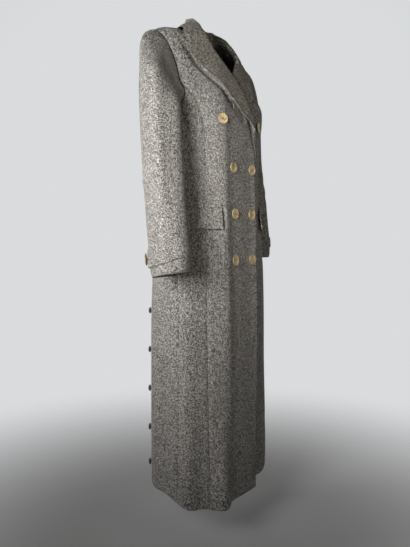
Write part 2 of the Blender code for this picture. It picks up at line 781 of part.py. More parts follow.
def build():
    for old in list(bpy.data.objects):
        bpy.data.objects.remove(old)
    tweed = material("tweed", (0.24, 0.225, 0.205), 0.95)
    horn = material("horn", (0.62, 0.54, 0.42), 0.45)
    dark = material("dark_button", (0.035, 0.030, 0.028), 0.5)

    back_panel(tweed)
    collar(tweed)
    fronts = {}
    for name, side in SIDES.items():
        fronts[side] = front_panel(side, f"{name}_front", tweed)
        seams = (front_seam_turn, side_seam_turn, back_seam_turn)
        front_top = side_panel(side, f"{name}_side_front", *seams[:2], 6, tweed)[1]
        side_back, back_top = side_panel(side, f"{name}_side_back", *seams[1:], 7, tweed)
        lapel(side, f"{name}_lapel", tweed)
        sleeve(side, name, armhole_loop(side, front_top, back_top), tweed)
        tab = cuff_tab(side, name, tweed)
        pocket_piece(side, f"{name}_flap", FLAP_TOP, FLAP_BOTTOM, 4, tweed)
        pocket_piece(side, f"{name}_jet", JET_TOP, FLAP_TOP + SEAM_GAP, 2, tweed)

        angle = TAB_BUTTON_ANGLE
        z = CUFF[side] + (read(TAB, "top", angle) + read(TAB, "bottom", angle)) / 2
        facing = unit(arm_point(side, z, angle, 0.01) - arm_point(side, z, angle))
        place = seat(tab, arm_point(side, z, angle), facing) + SEAM_GAP * facing
        turned_button(f"{name}_cuff_button", horn_profile(FRONT_BUTTON), 14, place, facing, horn)
        for number, level in enumerate(BACK_BUTTON_LEVELS, 1):
            turn = side * (back_seam_turn(level) - 4.0)
            facing = body_normal(turn, level)
            place = seat(side_back, body_point(turn, level), facing)
            button = f"{name}_back_button_{number}"
            turned_button(button, dome_profile(BACK_BUTTON), 10, place, facing, dark)

    number = 0
    for level, across in BUTTON_ROWS:
        for own in (across, -across):
            number += 1
            on_left = own < 0 and own < front_edge(level)
            side = LEFT if on_left else RIGHT
            across = -own if on_left else own
            facing = body_normal(side * turn_at(across, level), level)
            place = seat(fronts[side], front_place(side, across, level), facing)
            button = f"front_button_{number}"
            turned_button(button, horn_profile(FRONT_BUTTON), 14, place, facing, horn)


build()
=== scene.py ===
# %% [markdown]
# A redingote in flecked tweed
#
# The coat is a shell of sewn panels. The solids already give each panel its cut, its wall and its large
# folds. This lesson dresses them: smooth cloth on the same form, creases laid one by one, tweed, horn
# buttons and light.

# %% Load the solids
import math
from collections import namedtuple
from functools import partial

import bmesh
import bpy
import numpy as np
from mathutils import Matrix, Vector
from mathutils.bvhtree import BVHTree
from mathutils.kdtree import KDTree


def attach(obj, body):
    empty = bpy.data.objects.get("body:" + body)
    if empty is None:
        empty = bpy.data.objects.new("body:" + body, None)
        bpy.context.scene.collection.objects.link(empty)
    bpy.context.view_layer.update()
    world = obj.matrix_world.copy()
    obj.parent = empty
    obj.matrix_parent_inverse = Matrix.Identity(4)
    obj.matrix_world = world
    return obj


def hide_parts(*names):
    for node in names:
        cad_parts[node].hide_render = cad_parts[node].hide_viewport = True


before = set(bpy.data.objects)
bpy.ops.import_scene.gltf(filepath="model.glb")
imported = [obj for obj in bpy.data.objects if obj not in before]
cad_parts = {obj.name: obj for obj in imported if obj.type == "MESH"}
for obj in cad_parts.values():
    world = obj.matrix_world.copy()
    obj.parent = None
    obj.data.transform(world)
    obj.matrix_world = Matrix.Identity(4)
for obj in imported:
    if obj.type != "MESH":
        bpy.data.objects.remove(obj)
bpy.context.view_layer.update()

# %% [markdown]
# Smooth cloth from coarse walls
#
# A solid panel is a coarse grid of flat faces, and cloth bends smoothly. A cloth simulation would let the
# coat fall away from the form that the solids hold. So each panel is copied, its triangles are joined to
# squares and it is subdivided. Subdivision pulls a curved wall inwards, which would let layers cross. The
# corners of the cage are therefore pushed back out until the smooth wall passes through the solid's
# corners. The cut edges are creased, so seams stay closed and hems stay crisp.

# %% Meshes in and out


def coords(mesh):
    """The corners of a mesh as an array."""
    values = np.empty(len(mesh.vertices) * 3)
    mesh.vertices.foreach_get("co", values)
    return values.reshape(-1, 3)


def set_coords(mesh, values):
    """Moves the corners of a mesh."""
    mesh.vertices.foreach_set("co", np.ascontiguousarray(values, dtype=float).ravel())
    mesh.update()


def evaluated(piece):
    """The mesh of a piece with its modifiers."""
    graph = bpy.context.evaluated_depsgraph_get()
    graph.update()
    return bpy.data.meshes.new_from_object(piece.evaluated_get(graph), depsgraph=graph)


def put_in_scene(name, data):
    """A new object in the scene."""
    made = bpy.data.objects.new(name, data)
    bpy.context.scene.collection.objects.link(made)
    return made


def settle(piece, name):
    """Makes what the modifiers give a piece its own plain mesh, shaded smooth."""
    mesh = evaluated(piece)
    piece.modifiers.clear()
    piece.data = mesh
    mesh.name = name
    for face in mesh.polygons:
        face.use_smooth = True


print("the back's solid has", len(coords(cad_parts["back"].data)), "loose corners")

# %% Smooth walls
MERGE = 2e-5
EDGE_TURN = math.radians(55)
SQUARE_TURN = math.radians(60)
FINE = 3
PULLS = 4


def cage_of(node):
    """A welded copy of a solid, in squares where it can be, with its sharp edges creased."""
    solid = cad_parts[node]
    cage = bmesh.new()
    cage.from_mesh(solid.data)
    cage.transform(solid.matrix_world)
    bmesh.ops.remove_doubles(cage, verts=cage.verts[:], dist=MERGE)
    bmesh.ops.join_triangles(
        cage, faces=cage.faces[:], angle_face_threshold=SQUARE_TURN, angle_shape_threshold=SQUARE_TURN
    )
    crease = cage.edges.layers.float.new("crease_edge")
    for edge in cage.edges:
        if len(edge.link_faces) == 2 and edge.calc_face_angle() > EDGE_TURN:
            edge[crease] = 1.0
    bmesh.ops.recalc_face_normals(cage, faces=cage.faces[:])
    mesh = bpy.data.meshes.new(node)
    cage.to_mesh(mesh)
    cage.free()
    return mesh


def smooth_wall(node, name):
    """A fine smooth copy of a cloth solid that passes through its corners."""
    piece = put_in_scene(name, cage_of(node))
    soft = piece.modifiers.new("smooth", "SUBSURF")
    soft.levels = soft.render_levels = 1
    corners = coords(piece.data)
    control = corners.copy()
    for _ in range(PULLS):
        rough = evaluated(piece)
        control += corners - coords(rough)[: len(corners)]
        bpy.data.meshes.remove(rough)
        set_coords(piece.data, control)
    soft.levels = soft.render_levels = FINE
    settle(piece, name)
    return piece


BODY = [
    "back", "right_front", "left_front", "right_side_front", "left_side_front",
    "right_side_back", "left_side_back",
]
ON_BODY = ["right_lapel", "left_lapel", "collar", "right_flap", "left_flap", "right_jet", "left_jet"]
SLEEVES = ["right_upper_sleeve", "right_under_sleeve", "left_upper_sleeve", "left_under_sleeve"]
ON_SLEEVES = ["right_cuff_tab", "left_cuff_tab"]

cloth = {}
for node in BODY + ON_BODY + SLEEVES + ON_SLEEVES:
    cloth[node] = smooth_wall(node, node + "_cloth")
faces = sum(len(piece.data.polygons) for piece in cloth.values())
print("cloth pieces", len(cloth), "faces", faces)

# %% [markdown]
# Creases laid one by one
#
# A worn coat has few, soft folds. A simulation would put them anywhere, so each is laid where the real
# coat has it: a path over the cloth with a width and a depth, plus outwards. On the body a path runs in
# turn, the angle round the coat from centre front with the wearer's left plus, and level. On a sleeve the
# angle runs from straight out to the side, plus towards the front. Everything near a path moves the same
# way, so both faces of a wall, and a flap or lapel lying on it, keep their distance.

# %% Crease tables
Crease = namedtuple("Crease", "path width depth")
BODY_GIRTH = 0.145
SLEEVE_GIRTH = 0.048

BODY_CREASES = [
    # The turned edge between the side plane and the front plane, bust to hem
    Crease([(-39, -0.15), (-36, -0.27), (-34, -0.42), (-33, -0.60), (-31, -0.82), (-30, -1.02),
            (-36, -1.20)], 0.022, 0.0090),
    # The hollow along the princess seam under the sleeve
    Crease([(-66, -0.15), (-62, -0.27), (-61, -0.42), (-61, -0.62)], 0.030, -0.0165),
    Crease([(-59, -0.50), (-58, -0.80), (-60, -1.10)], 0.030, -0.0095),
    Crease([(-76, -0.16), (-71, -0.27)], 0.014, 0.0030),
    # Drag lines above the hem
    Crease([(-50, -0.974), (-41, -0.950), (-31, -0.918)], 0.011, 0.0024),
    Crease([(-49, -0.994), (-40, -0.972), (-32, -0.942)], 0.010, -0.0022),
    Crease([(-48, -1.068), (-39, -1.052), (-32, -1.036)], 0.011, -0.0030),
    Crease([(-47, -1.088), (-40, -1.074), (-34, -1.060)], 0.010, 0.0018),
    Crease([(-47, -1.248), (-40, -1.236), (-32, -1.241)], 0.011, -0.0050),
    # Long soft falls of the skirt
    Crease([(-66, -0.62), (-66, -0.85), (-68, -1.20)], 0.024, 0.0030),
    Crease([(-88, -0.70), (-90, -1.22)], 0.026, -0.0035),
    Crease([(-112, -0.64), (-110, -1.24)], 0.026, 0.0030),
    # The left side, with falls of its own
    Crease([(35, -0.15), (33, -0.27), (31, -0.42), (30, -0.60), (28, -0.82), (29, -1.02),
            (34, -1.20)], 0.022, 0.0070),
    Crease([(61, -0.17), (57, -0.30), (56, -0.43), (57, -0.64)], 0.026, -0.0080),
    Crease([(57, -0.54), (56, -0.82), (59, -1.12)], 0.028, -0.0055),
    Crease([(70, -0.60), (72, -0.95), (69, -1.23)], 0.026, 0.0032),
    Crease([(96, -0.72), (93, -1.20)], 0.026, -0.0030),
    Crease([(44, -0.99), (36, -0.962), (28, -0.946)], 0.012, -0.0024),
    # The back: a hollow over the spine and drag at the waist
    Crease([(180, -0.20), (181, -0.34), (180, -0.46)], 0.034, -0.0034),
    Crease([(166, -0.405), (176, -0.420), (187, -0.409)], 0.011, -0.0026),
    Crease([(170, -0.442), (181, -0.452), (192, -0.438)], 0.012, 0.0022),
    Crease([(152, -0.66), (150, -1.24)], 0.028, 0.0036),
    Crease([(208, -0.70), (211, -1.22)], 0.028, 0.0040),
    Crease([(181, -0.62), (179, -1.20)], 0.030, -0.0038),
]
SLEEVE_CREASES = {
    "right": [
        Crease([(-24, -0.588), (4, -0.596), (27, -0.604)], 0.010, -0.0032),
        Crease([(-30, -0.566), (-2, -0.573), (22, -0.580)], 0.011, 0.0020),
        Crease([(20, -0.08), (23, -0.20), (24, -0.36), (21, -0.57)], 0.016, 0.0095),
        Crease([(64, -0.10), (70, -0.24), (72, -0.40), (68, -0.58)], 0.020, -0.0030),
        Crease([(92, -0.400), (70, -0.412), (46, -0.404)], 0.011, -0.0024),
        Crease([(100, -0.446), (74, -0.452), (52, -0.440)], 0.010, -0.0020),
        Crease([(-96, -0.420), (-60, -0.452), (-34, -0.440)], 0.013, 0.0024),
    ],
    "left": [
        Crease([(-28, -0.560), (2, -0.571), (30, -0.566)], 0.010, -0.0030),
        Crease([(88, -0.408), (66, -0.420), (40, -0.414)], 0.011, -0.0026),
        Crease([(96, -0.452), (70, -0.462), (50, -0.450)], 0.010, -0.0020),
        Crease([(-92, -0.412), (-62, -0.446), (-30, -0.430)], 0.013, 0.0026),
        Crease([(21, -0.09), (24, -0.22), (25, -0.36), (22, -0.55)], 0.014, 0.0058),
        Crease([(58, -0.11), (64, -0.26), (65, -0.40), (62, -0.55)], 0.020, -0.0034),
    ],
}
on_sleeves = sum(len(creases) for creases in SLEEVE_CREASES.values())
print("creases", len(BODY_CREASES), "on the body,", on_sleeves, "on the sleeves")

# %% [markdown]
# Listed moves
#
# Some forms aren't folds, such as a padded shoulder. Sculpting them with a brush couldn't be repeated, so
# each is written down as a place, a reach and a movement, and all cloth within reach follows softly. A row
# of such moves gives the right sleeve the corner that runs down its front.

# %% Listed moves
HandMove = namedtuple("HandMove", "place reach by")
HAND_MOVES = [
    # Padded ends of the shoulders
    HandMove((-0.215, 0.000, -0.075), 0.065, (-0.014, 0.000, 0.002)),
    HandMove((-0.172, 0.000, -0.046), 0.036, (-0.010, 0.000, 0.005)),
    HandMove((0.205, 0.030, -0.075), 0.055, (0.004, 0.000, 0.003)),
    # The collar behind the right shoulder, and its fold beside the neckline
    HandMove((-0.085, 0.042, 0.004), 0.036, (0.012, -0.007, -0.004)),
    HandMove((-0.062, 0.010, 0.016), 0.026, (0.000, 0.000, 0.009)),
    # The far side of the collar, close to the neckline
    HandMove((0.075, -0.018, -0.018), 0.052, (-0.008, 0.006, -0.008)),
    # The left side of the chest
    HandMove((0.130, -0.070, -0.215), 0.060, (0.007, -0.008, 0.000)),
]
# The corner that runs down the front of the right sleeve: level, across, depth
SLEEVE_CORNER = np.array([(-0.620, -0.293, -0.090), (-0.305, -0.285, -0.057), (-0.150, -0.266, -0.036)])
CORNER_REACH, CORNER_STEP = 0.030, 0.045
CORNER_FORWARD = (0.000, -0.0095, 0.000)
for level in np.arange(SLEEVE_CORNER[0, 0], SLEEVE_CORNER[-1, 0], CORNER_STEP):
    across, depth = [np.interp(level, SLEEVE_CORNER[:, 0], SLEEVE_CORNER[:, part]) for part in (1, 2)]
    HAND_MOVES.append(HandMove((across, depth, level), CORNER_REACH, CORNER_FORWARD))
print("hand moves", len(HAND_MOVES))

# %% [markdown]
# Two maps of the cloth
#
# To lay a crease, each point needs an angle and a level instead of x, y and z. The body map wraps round
# the coat. The sleeve map wraps round the sleeve, whose centre line leans a little from cuff to elbow and
# runs into the shoulder at the top. Each map gives the angle and the way out from the centre.

# %% Body and sleeve maps
ROUND_BODY = 0.41
SLEEVE_LINE = {
    "right": [(-0.690, 0.258, -0.093), (-0.610, 0.252, -0.079), (-0.490, 0.243, -0.058),
              (-0.360, 0.236, -0.040), (-0.275, 0.232, -0.031), (-0.200, 0.226, -0.022),
              (-0.120, 0.196, -0.012), (-0.050, 0.150, -0.005)],
    "left": [(-0.660, 0.257, 0.028), (-0.610, 0.252, 0.029), (-0.520, 0.247, 0.034), (-0.450, 0.243, 0.037),
             (-0.360, 0.236, 0.048), (-0.275, 0.232, 0.050), (-0.200, 0.226, 0.046), (-0.120, 0.196, 0.038),
             (-0.050, 0.150, 0.030)],
}
SIDE = {"right": -1.0, "left": 1.0}
TINY = 1e-6


def unit(ways):
    """Ways of length one."""
    return ways / np.maximum(np.linalg.norm(ways, axis=1, keepdims=True), TINY)


def body_map(points):
    """Angle in degrees and way out of points round the coat."""
    turn = np.degrees(np.arctan2(points[:, 0], -points[:, 1]))
    return turn, unit(np.stack([points[:, 0] * ROUND_BODY, points[:, 1], np.zeros(len(points))], axis=1))


def sleeve_map(points, side):
    """Angle in degrees and way out of points round a sleeve."""
    levels, across, along = np.array(SLEEVE_LINE[side]).T
    centre_x = SIDE[side] * np.interp(points[:, 2], levels, across)
    centre_y = np.interp(points[:, 2], levels, along)
    sideways = (points[:, 0] - centre_x) * SIDE[side]
    forward = centre_y - points[:, 1]
    angle = np.degrees(np.arctan2(forward, sideways))
    return angle, unit(np.stack([sideways * SIDE[side], -forward, np.zeros(len(points))], axis=1))


def side_of(node):
    """The side a paired node is on."""
    return "left" if node.startswith("left") else "right"


turns = body_map(coords(cloth["right_front"].data))[0]
print("right front spans", round(turns.min()), "to", round(turns.max()), "degrees")

# %% Creases into the cloth
END_SHARE, END_ROUND = 0.04, 0.6


def soft_bell(gap, width):
    """A share that is 1 at no gap and fades softly over a width."""
    return np.exp(-((gap / width) ** 2))


def crease_rise(angle, level, crease, girth):
    """How far one crease moves points, from their angle and level."""
    path = np.array(crease.path, dtype=float)
    middle = path[:, 0].mean()
    near = (angle - middle + 180.0) % 360.0 - 180.0
    spot = np.stack([np.radians(near) * girth, level], axis=1)
    line = np.stack([np.radians(path[:, 0] - middle) * girth, path[:, 1]], axis=1)
    steps = np.linalg.norm(np.diff(line, axis=0), axis=1)
    starts = np.concatenate([[0.0], np.cumsum(steps)])
    best = np.full(len(spot), np.inf)
    along = np.zeros(len(spot))
    for first, last, step, start in zip(line[:-1], line[1:], steps, starts):
        share = np.clip((spot - first) @ (last - first) / step ** 2, 0.0, 1.0)
        gap = np.linalg.norm(spot - first - share[:, None] * (last - first), axis=1)
        closer = gap < best
        best = np.where(closer, gap, best)
        along = np.where(closer, start + share * step, along)
    ends = np.sin(np.clip(along / starts[-1], END_SHARE, 1 - END_SHARE) * np.pi) ** END_ROUND
    return crease.depth * ends * soft_bell(best, crease.width)


def hand_shift(points):
    """The movement that the listed moves give to points in space."""
    shift = np.zeros_like(points)
    for move in HAND_MOVES:
        gap = np.linalg.norm(points - np.array(move.place), axis=1)
        shift += soft_bell(gap, move.reach)[:, None] * np.array(move.by)
    return shift


def body_shift(points):
    """The movement of points on the body."""
    turn, out = body_map(points)
    rise = sum(crease_rise(turn, points[:, 2], crease, BODY_GIRTH) for crease in BODY_CREASES)
    return out * rise[:, None] + hand_shift(points)


def sleeve_shift(points, side):
    """The movement of points on a sleeve."""
    angle, out = sleeve_map(points, side)
    rise = sum(crease_rise(angle, points[:, 2], crease, SLEEVE_GIRTH) for crease in SLEEVE_CREASES[side])
    return out * rise[:, None] + hand_shift(points)


moved = []
for node, piece in cloth.items():
    points = coords(piece.data)
    if node in SLEEVES + ON_SLEEVES:
        shift = sleeve_shift(points, side_of(node))
    else:
        shift = body_shift(points)
    set_coords(piece.data, points + shift)
    moved.append(np.abs(shift).max())
print("largest crease", round(max(moved) * 1000, 2), "mm")

# %% [markdown]
# Edges that stand off
#
# A lapel is rolled, not pressed flat: its free edge stands off the front, most near the break where it
# starts to turn. The lower edge of a pocket flap stands off too. The dark line beside such an edge is what
# draws it, so the cloth under it sinks a little along the edge. Painting a dark line would be quicker, but
# it would stay dark from every side and in every light.

# %% Edges and neighbours


def tree_of(points):
    """A search tree of points."""
    tree = KDTree(len(points))
    for index, point in enumerate(points):
        tree.insert(point, index)
    tree.balance()
    return tree


def nearest_in(tree, points):
    """The nearest entry of a search tree to each point, and how far off it is."""
    index, gap = np.array([tree.find(point)[1:] for point in points]).T
    return index.astype(int), gap


def rim_of(mesh):
    """The corners on the sharp edges of a wall."""
    shape = bmesh.new()
    shape.from_mesh(mesh)
    rim = sorted({v.index for e in shape.edges if e.calc_face_angle(0.0) > EDGE_TURN for v in e.verts})
    shape.free()
    return np.array(rim)


def surface_of(nodes):
    """A search tree of the faces of some pieces."""
    shape = bmesh.new()
    for node in nodes:
        shape.from_mesh(cloth[node].data)
    tree = BVHTree.FromBMesh(shape)
    shape.free()
    return tree


print("right lapel has", len(rim_of(cloth["right_lapel"].data)), "corners on its edges")

# %% Standing edges
ROLL_LINE = [(-0.376, -0.063), (-0.300, -0.043), (-0.220, -0.019), (-0.139, 0.012), (-0.095, 0.045),
             (-0.050, 0.0695), (-0.015, 0.077)]
LAPEL_WIDTH = [(-0.374, 0.004), (-0.343, 0.010), (-0.313, 0.020), (-0.287, 0.034), (-0.256, 0.052),
               (-0.223, 0.073), (-0.181, 0.080), (-0.139, 0.090), (-0.086, 0.083), (-0.041, 0.078)]
LAPEL_STAND = {
    "right": [(-0.340, 0.000), (-0.313, 0.009), (-0.287, 0.013), (-0.256, 0.012), (-0.223, 0.009),
              (-0.181, 0.0065), (-0.041, 0.005)],
    "left": [(-0.260, 0.000), (-0.223, 0.003), (-0.190, 0.009), (-0.139, 0.013), (-0.086, 0.011),
             (-0.041, 0.004)],
}
FREE_SHARE = 0.6
BREAK_TOP, BREAK_FLAT = -0.292, -0.322
BREAK_PRESS = 0.9
LAPEL_BED = 0.0010
TUCK, TUCK_WIDTH, TUCK_FLAT = 0.0110, 0.0100, 0.4
FLAP_TOP, FLAP_DEPTH, FLAP_HELD = -0.5107, 0.0558, 0.25
FLAP_STAND, FLAP_TUCK = 0.0048, 0.0060


def along_table(table, levels):
    """Reads a table of levels and values."""
    at, value = np.array(table).T
    return np.interp(levels, at, value)


def share_from(values, start, full):
    """A share that is 0 at a start and 1 where it is full."""
    return np.clip((values - start) / (full - start), 0, 1)


def push_out(mesh, rise):
    """Moves the points of a mesh away from the middle of the coat."""
    points = coords(mesh)
    set_coords(mesh, points + body_map(points)[1] * rise[:, None])


def tuck_by(points, edge):
    """How far cloth sinks beside an edge that lies on it."""
    return np.clip(1 + TUCK_FLAT - nearest_in(edge, points)[1] / TUCK_WIDTH, 0, 1)


def past_roll(points, side):
    """How far points lie beyond the line the lapel rolls along."""
    return points[:, 0] * SIDE[side] - along_table(ROLL_LINE, points[:, 2])


def stand_lapel(side):
    """Presses a lapel's break on the front, stands its edge off and sinks the front beside that edge."""
    lapel, front = cloth[side + "_lapel"].data, cloth[side + "_front"].data
    points = coords(lapel)
    rim = points[rim_of(lapel)]
    free_edge = tree_of(rim[past_roll(rim, side) > along_table(LAPEL_WIDTH, rim[:, 2]) * FREE_SHARE])
    share = np.clip(past_roll(points, side) / along_table(LAPEL_WIDTH, points[:, 2]), 0, 1)
    stand = along_table(LAPEL_STAND[side], points[:, 2]) * share
    press = BREAK_PRESS * share_from(points[:, 2], BREAK_TOP, BREAK_FLAT)
    bed = surface_of([side + "_front"])
    foot = np.array([bed.find_nearest(point)[0] for point in points])
    set_coords(lapel, points + (foot - points) * press[:, None])
    push_out(lapel, LAPEL_BED + stand)
    push_out(front, -TUCK * tuck_by(coords(front), free_edge))
    return stand.max()


def stand_flap(side):
    """Stands a flap's lower edge off and sinks the panels beside it."""
    flap = cloth[side + "_flap"].data
    hang = np.clip((FLAP_TOP - coords(flap)[:, 2]) / FLAP_DEPTH, 0, 1)
    push_out(flap, FLAP_STAND * hang ** 2)
    rim = coords(flap)[rim_of(flap)]
    low_edge = tree_of(rim[rim[:, 2] < FLAP_TOP - FLAP_HELD * FLAP_DEPTH])
    for name in ("_front", "_side_front"):
        panel = cloth[side + name].data
        push_out(panel, -FLAP_TUCK * tuck_by(coords(panel), low_edge))


for side in SIDE:
    highest = stand_lapel(side)
    stand_flap(side)
    print(side, "lapel stands", round(highest * 1000, 1), "mm, flap", FLAP_STAND * 1000, "mm")

# %% [markdown]
# The collar lies down
#
# The fall of the collar bends over its stand and rests on the shoulders. Laid by eye it would float or
# sink in, so a ray from each point of its free edge measures how far the cloth is below. The edge drops by
# that, to a hair above the cloth, and the fall behind it follows, less and less up to the fold. The
# shoulder sinks a little along the edge, as under the lapel.

# %% Collar on the shoulders
NECK_BACK = 0.015
FREE_EDGE = 0.085
FALL_DEPTH, FALL_REACH = 0.055, 0.012
FALL_CLEAR, FALL_SPREAD, FALL_TUCK = 0.0016, 0.006, 0.0060
HIGHEST = 0.040
SHOULDER_FRONT, SHOULDER_TOP = -0.044, -0.026
RAY_START, RAY_WAY, RAY_LENGTH = Vector((0, 0, 0.02)), Vector((0, 0, -1)), 0.08
UNDER_COLLAR = ["right_front", "left_front", "back"]


def height_over(surface, point):
    """How high a point is above a surface, or not a number where nothing is below."""
    below = surface.ray_cast(Vector(point) + RAY_START, RAY_WAY, RAY_LENGTH)[0]
    return point[2] - below.z if below else math.nan


collar = cloth["collar"].data
points = coords(collar)
from_neck = points[:, :2] - np.array([0.0, NECK_BACK])
away = np.linalg.norm(from_neck, axis=1, keepdims=True)
rim = rim_of(collar)
free_at = rim[away[rim, 0] > FREE_EDGE]
shoulders = surface_of(UNDER_COLLAR)
heights = np.array([height_over(shoulders, point) for point in points[free_at]])
over_cloth = heights < HIGHEST
free_at, heights = free_at[over_cloth], heights[over_cloth]
free = points[free_at]
free_edge = tree_of(free)
near = [[found[1] for found in free_edge.find_range(point, FALL_REACH)] for point in free]
lowest = np.array([heights[spots].min() for spots in near])
drop = np.array([np.maximum(lowest[spots] - FALL_CLEAR, 0.0).mean() for spots in near])
nearest, gap = nearest_in(free_edge, points)
share = np.clip(1 - gap / FALL_DEPTH, 0, 1) * share_from(points[:, 1], SHOULDER_FRONT, SHOULDER_TOP)
shift = np.zeros_like(points)
shift[:, :2] = from_neck / away * (FALL_SPREAD * share ** 2)[:, None]
shift[:, 2] = -drop[nearest] * share
set_coords(collar, points + shift)
laid_edge = tree_of(coords(collar)[free_at])
for node in UNDER_COLLAR:
    points = coords(cloth[node].data)
    points[:, 2] -= FALL_TUCK * tuck_by(points, laid_edge)
    set_coords(cloth[node].data, points)
print("collar drops up to", round(float(-shift[:, 2].min()) * 1000, 1), "mm")

# %% [markdown]
# Closing the seams
#
# The solids keep a hair's width between panels so that they never cross. Sewn panels meet. Joining the
# meshes would lose the pieces, so every cut edge looks for the nearest edge of another piece on its own
# side of the coat and goes half way to it, and the cloth beside the edge follows, less and less.

# %% Sewn edges
SEWN = BODY + SLEEVES + ["right_lapel", "left_lapel", "collar"]
SEW_REACH = 0.006
SEW_FADE = 0.014


def may_meet(one, other):
    """Pieces on opposite sides of the coat are never sewn together."""
    sides = {node.split("_")[0] for node in (one, other)}
    return one != other and sides != {"right", "left"}


rims = {node: rim_of(cloth[node].data) for node in SEWN}
edges = {node: coords(cloth[node].data)[rims[node]] for node in SEWN}
owners = [node for node in SEWN for _ in rims[node]]
every_edge = tree_of(np.concatenate([edges[node] for node in SEWN]))


def sewing_move(node, point):
    """Half the way from an edge point to the nearest edge it is sewn to, and the piece that edge is on."""
    for place, index, _ in sorted(every_edge.find_range(point, SEW_REACH), key=lambda found: found[2]):
        if may_meet(node, owners[index]):
            return (np.array(place) - point) / 2, owners[index]
    return np.zeros(3), None


sewn = 0
armholes = []
for node in SEWN:
    points = coords(cloth[node].data)
    found = [sewing_move(node, point) for point in edges[node]]
    moves = np.array([move for move, _ in found])
    if node in SLEEVES:
        armholes += [point for point, (_, partner) in zip(edges[node], found) if partner in BODY]
    index, gap = nearest_in(tree_of(edges[node]), points)
    share = np.clip(1 - gap / SEW_FADE, 0, 1) ** 2
    set_coords(cloth[node].data, points + moves[index] * share[:, None])
    sewn += np.count_nonzero(np.linalg.norm(moves, axis=1))
print("edge corners sewn", sewn, "of", len(owners))

# %% [markdown]
# Hollow round the armhole
#
# Where the sleeve is set in, the cloth sinks between the roundness of the sleeve and the swell of the
# chest. The sewing has just found the armhole, so the hollow follows the same line. It is deepest at the
# front and runs out on the shoulder.

# %% Armhole hollows
ARMHOLE_DEPTH, ARMHOLE_WIDTH = 0.0050, 0.012
ARMHOLE_TOP, ARMHOLE_FULL = -0.055, -0.100

armhole_line = tree_of(armholes)
for node in BODY + SLEEVES:
    mesh = cloth[node].data
    points = coords(mesh)
    fade = share_from(points[:, 2], ARMHOLE_TOP, ARMHOLE_FULL)
    push_out(mesh, -ARMHOLE_DEPTH * fade * soft_bell(nearest_in(armhole_line, points)[1], ARMHOLE_WIDTH))
print("armhole points", len(armholes), "hollow", ARMHOLE_DEPTH * 1000, "mm")

# %% [markdown]
# Pressed seams
#
# Where two panels are sewn, the cloth turns in and dips towards the stitching. The dip is under three
# millimetres deep and fades within a finger's width, so a seam reads as a soft line. A drawn line would
# look flat from near. Free edges are pressed the same way. The pieces that lie on others keep their edges
# as they are.

# %% Seam dips
DIP, DIP_WIDTH = 0.0028, 0.0055

for node in BODY + SLEEVES:
    mesh = cloth[node].data
    points = coords(mesh)
    gap = nearest_in(tree_of(points[rims[node]]), points)[1]
    out = sleeve_map(points, side_of(node))[1] if node in SLEEVES else body_map(points)[1]
    set_coords(mesh, points - out * (DIP * soft_bell(gap, DIP_WIDTH))[:, None])
print("seam dip", DIP * 1000, "mm on", len(BODY + SLEEVES), "panels")

# %% [markdown]
# The weave's own map
#
# Yarns keep their width round the coat, so every piece gets a map in metres. Object coordinates would
# stretch the weave on every side that turns away. Panels are unrolled along the girth of the coat, and
# sleeves along the girth of the sleeve, which widens into the shoulder. A lapel is cut with its yarns
# along the roll line, and the collar is wrapped round the neckline.

# %% Cloth maps
HALF_WIDTH, HALF_DEPTH = 0.178, 0.118
ROLL_LEAN = {"right": math.radians(20.7), "left": math.radians(-20.7)}
ROLL_SLANT = 0.9
NECK_GIRTH = 0.095
FALL_SLOPE = math.radians(40)
CAP_START, CAP_STRETCH = -0.20, 1.3
SLEEVE_AXIS = 0.232
BOLT_STEP = np.array([0.371, 0.613])

ring = np.radians(np.arange(-180, 181))
ring_x = HALF_WIDTH * np.sin(ring)
ring_y = -HALF_DEPTH * np.cos(ring)
ring_turn = np.degrees(np.unwrap(np.arctan2(ring_x, -ring_y)))
ring_length = np.concatenate([[0.0], np.cumsum(np.hypot(np.diff(ring_x), np.diff(ring_y)))])


def unrolled_body(points):
    """Positions along the girth of the coat and down it."""
    turn = body_map(points)[0]
    return np.stack([np.interp(turn, ring_turn, ring_length), points[:, 2]], axis=1)


def unrolled_sleeve(points, side):
    """Positions along the girth of the sleeve and down it, stretched over the cap."""
    angle = np.radians(sleeve_map(points, side)[0])
    levels, across, _ = np.array(SLEEVE_LINE[side]).T
    girth = SLEEVE_GIRTH + SLEEVE_AXIS - np.minimum(np.interp(points[:, 2], levels, across), SLEEVE_AXIS)
    over = np.maximum(points[:, 2] - CAP_START, 0.0)
    return np.stack([angle * girth, points[:, 2] + over * (CAP_STRETCH - 1)], axis=1)


def flat_map(node, points):
    """Positions in the cloth, in metres, of points on a piece."""
    if node in SLEEVES + ON_SLEEVES:
        return unrolled_sleeve(points, side_of(node))
    if node == "collar":
        round_neck = np.arctan2(points[:, 0], NECK_BACK - points[:, 1]) * NECK_GIRTH
        fall = np.hypot(points[:, 0], points[:, 1] - NECK_BACK)
        down = points[:, 2] * math.cos(FALL_SLOPE) - fall * math.sin(FALL_SLOPE)
        return np.stack([round_neck, down], axis=1)
    if node.endswith("lapel"):
        lean = ROLL_LEAN[side_of(node)]
        level = points[:, 0] + SIDE[side_of(node)] * ROLL_SLANT * points[:, 1]
        across = level * math.cos(lean) + points[:, 2] * math.sin(lean)
        along = points[:, 2] * math.cos(lean) - level * math.sin(lean)
        return np.stack([across, along], axis=1)
    return unrolled_body(points)


for number, (node, piece) in enumerate(cloth.items()):
    mesh = piece.data
    flat = flat_map(node, coords(mesh)) + BOLT_STEP * number
    for layer in list(mesh.uv_layers):
        mesh.uv_layers.remove(layer)
    layer = mesh.uv_layers.new(name="cloth")
    corners = np.empty(len(mesh.loops), dtype=np.int64)
    mesh.loops.foreach_get("vertex_index", corners)
    layer.data.foreach_set("uv", flat[corners].ravel())
print("maps", len(cloth), "girth of the coat", round(ring_length[-1], 3), "m")
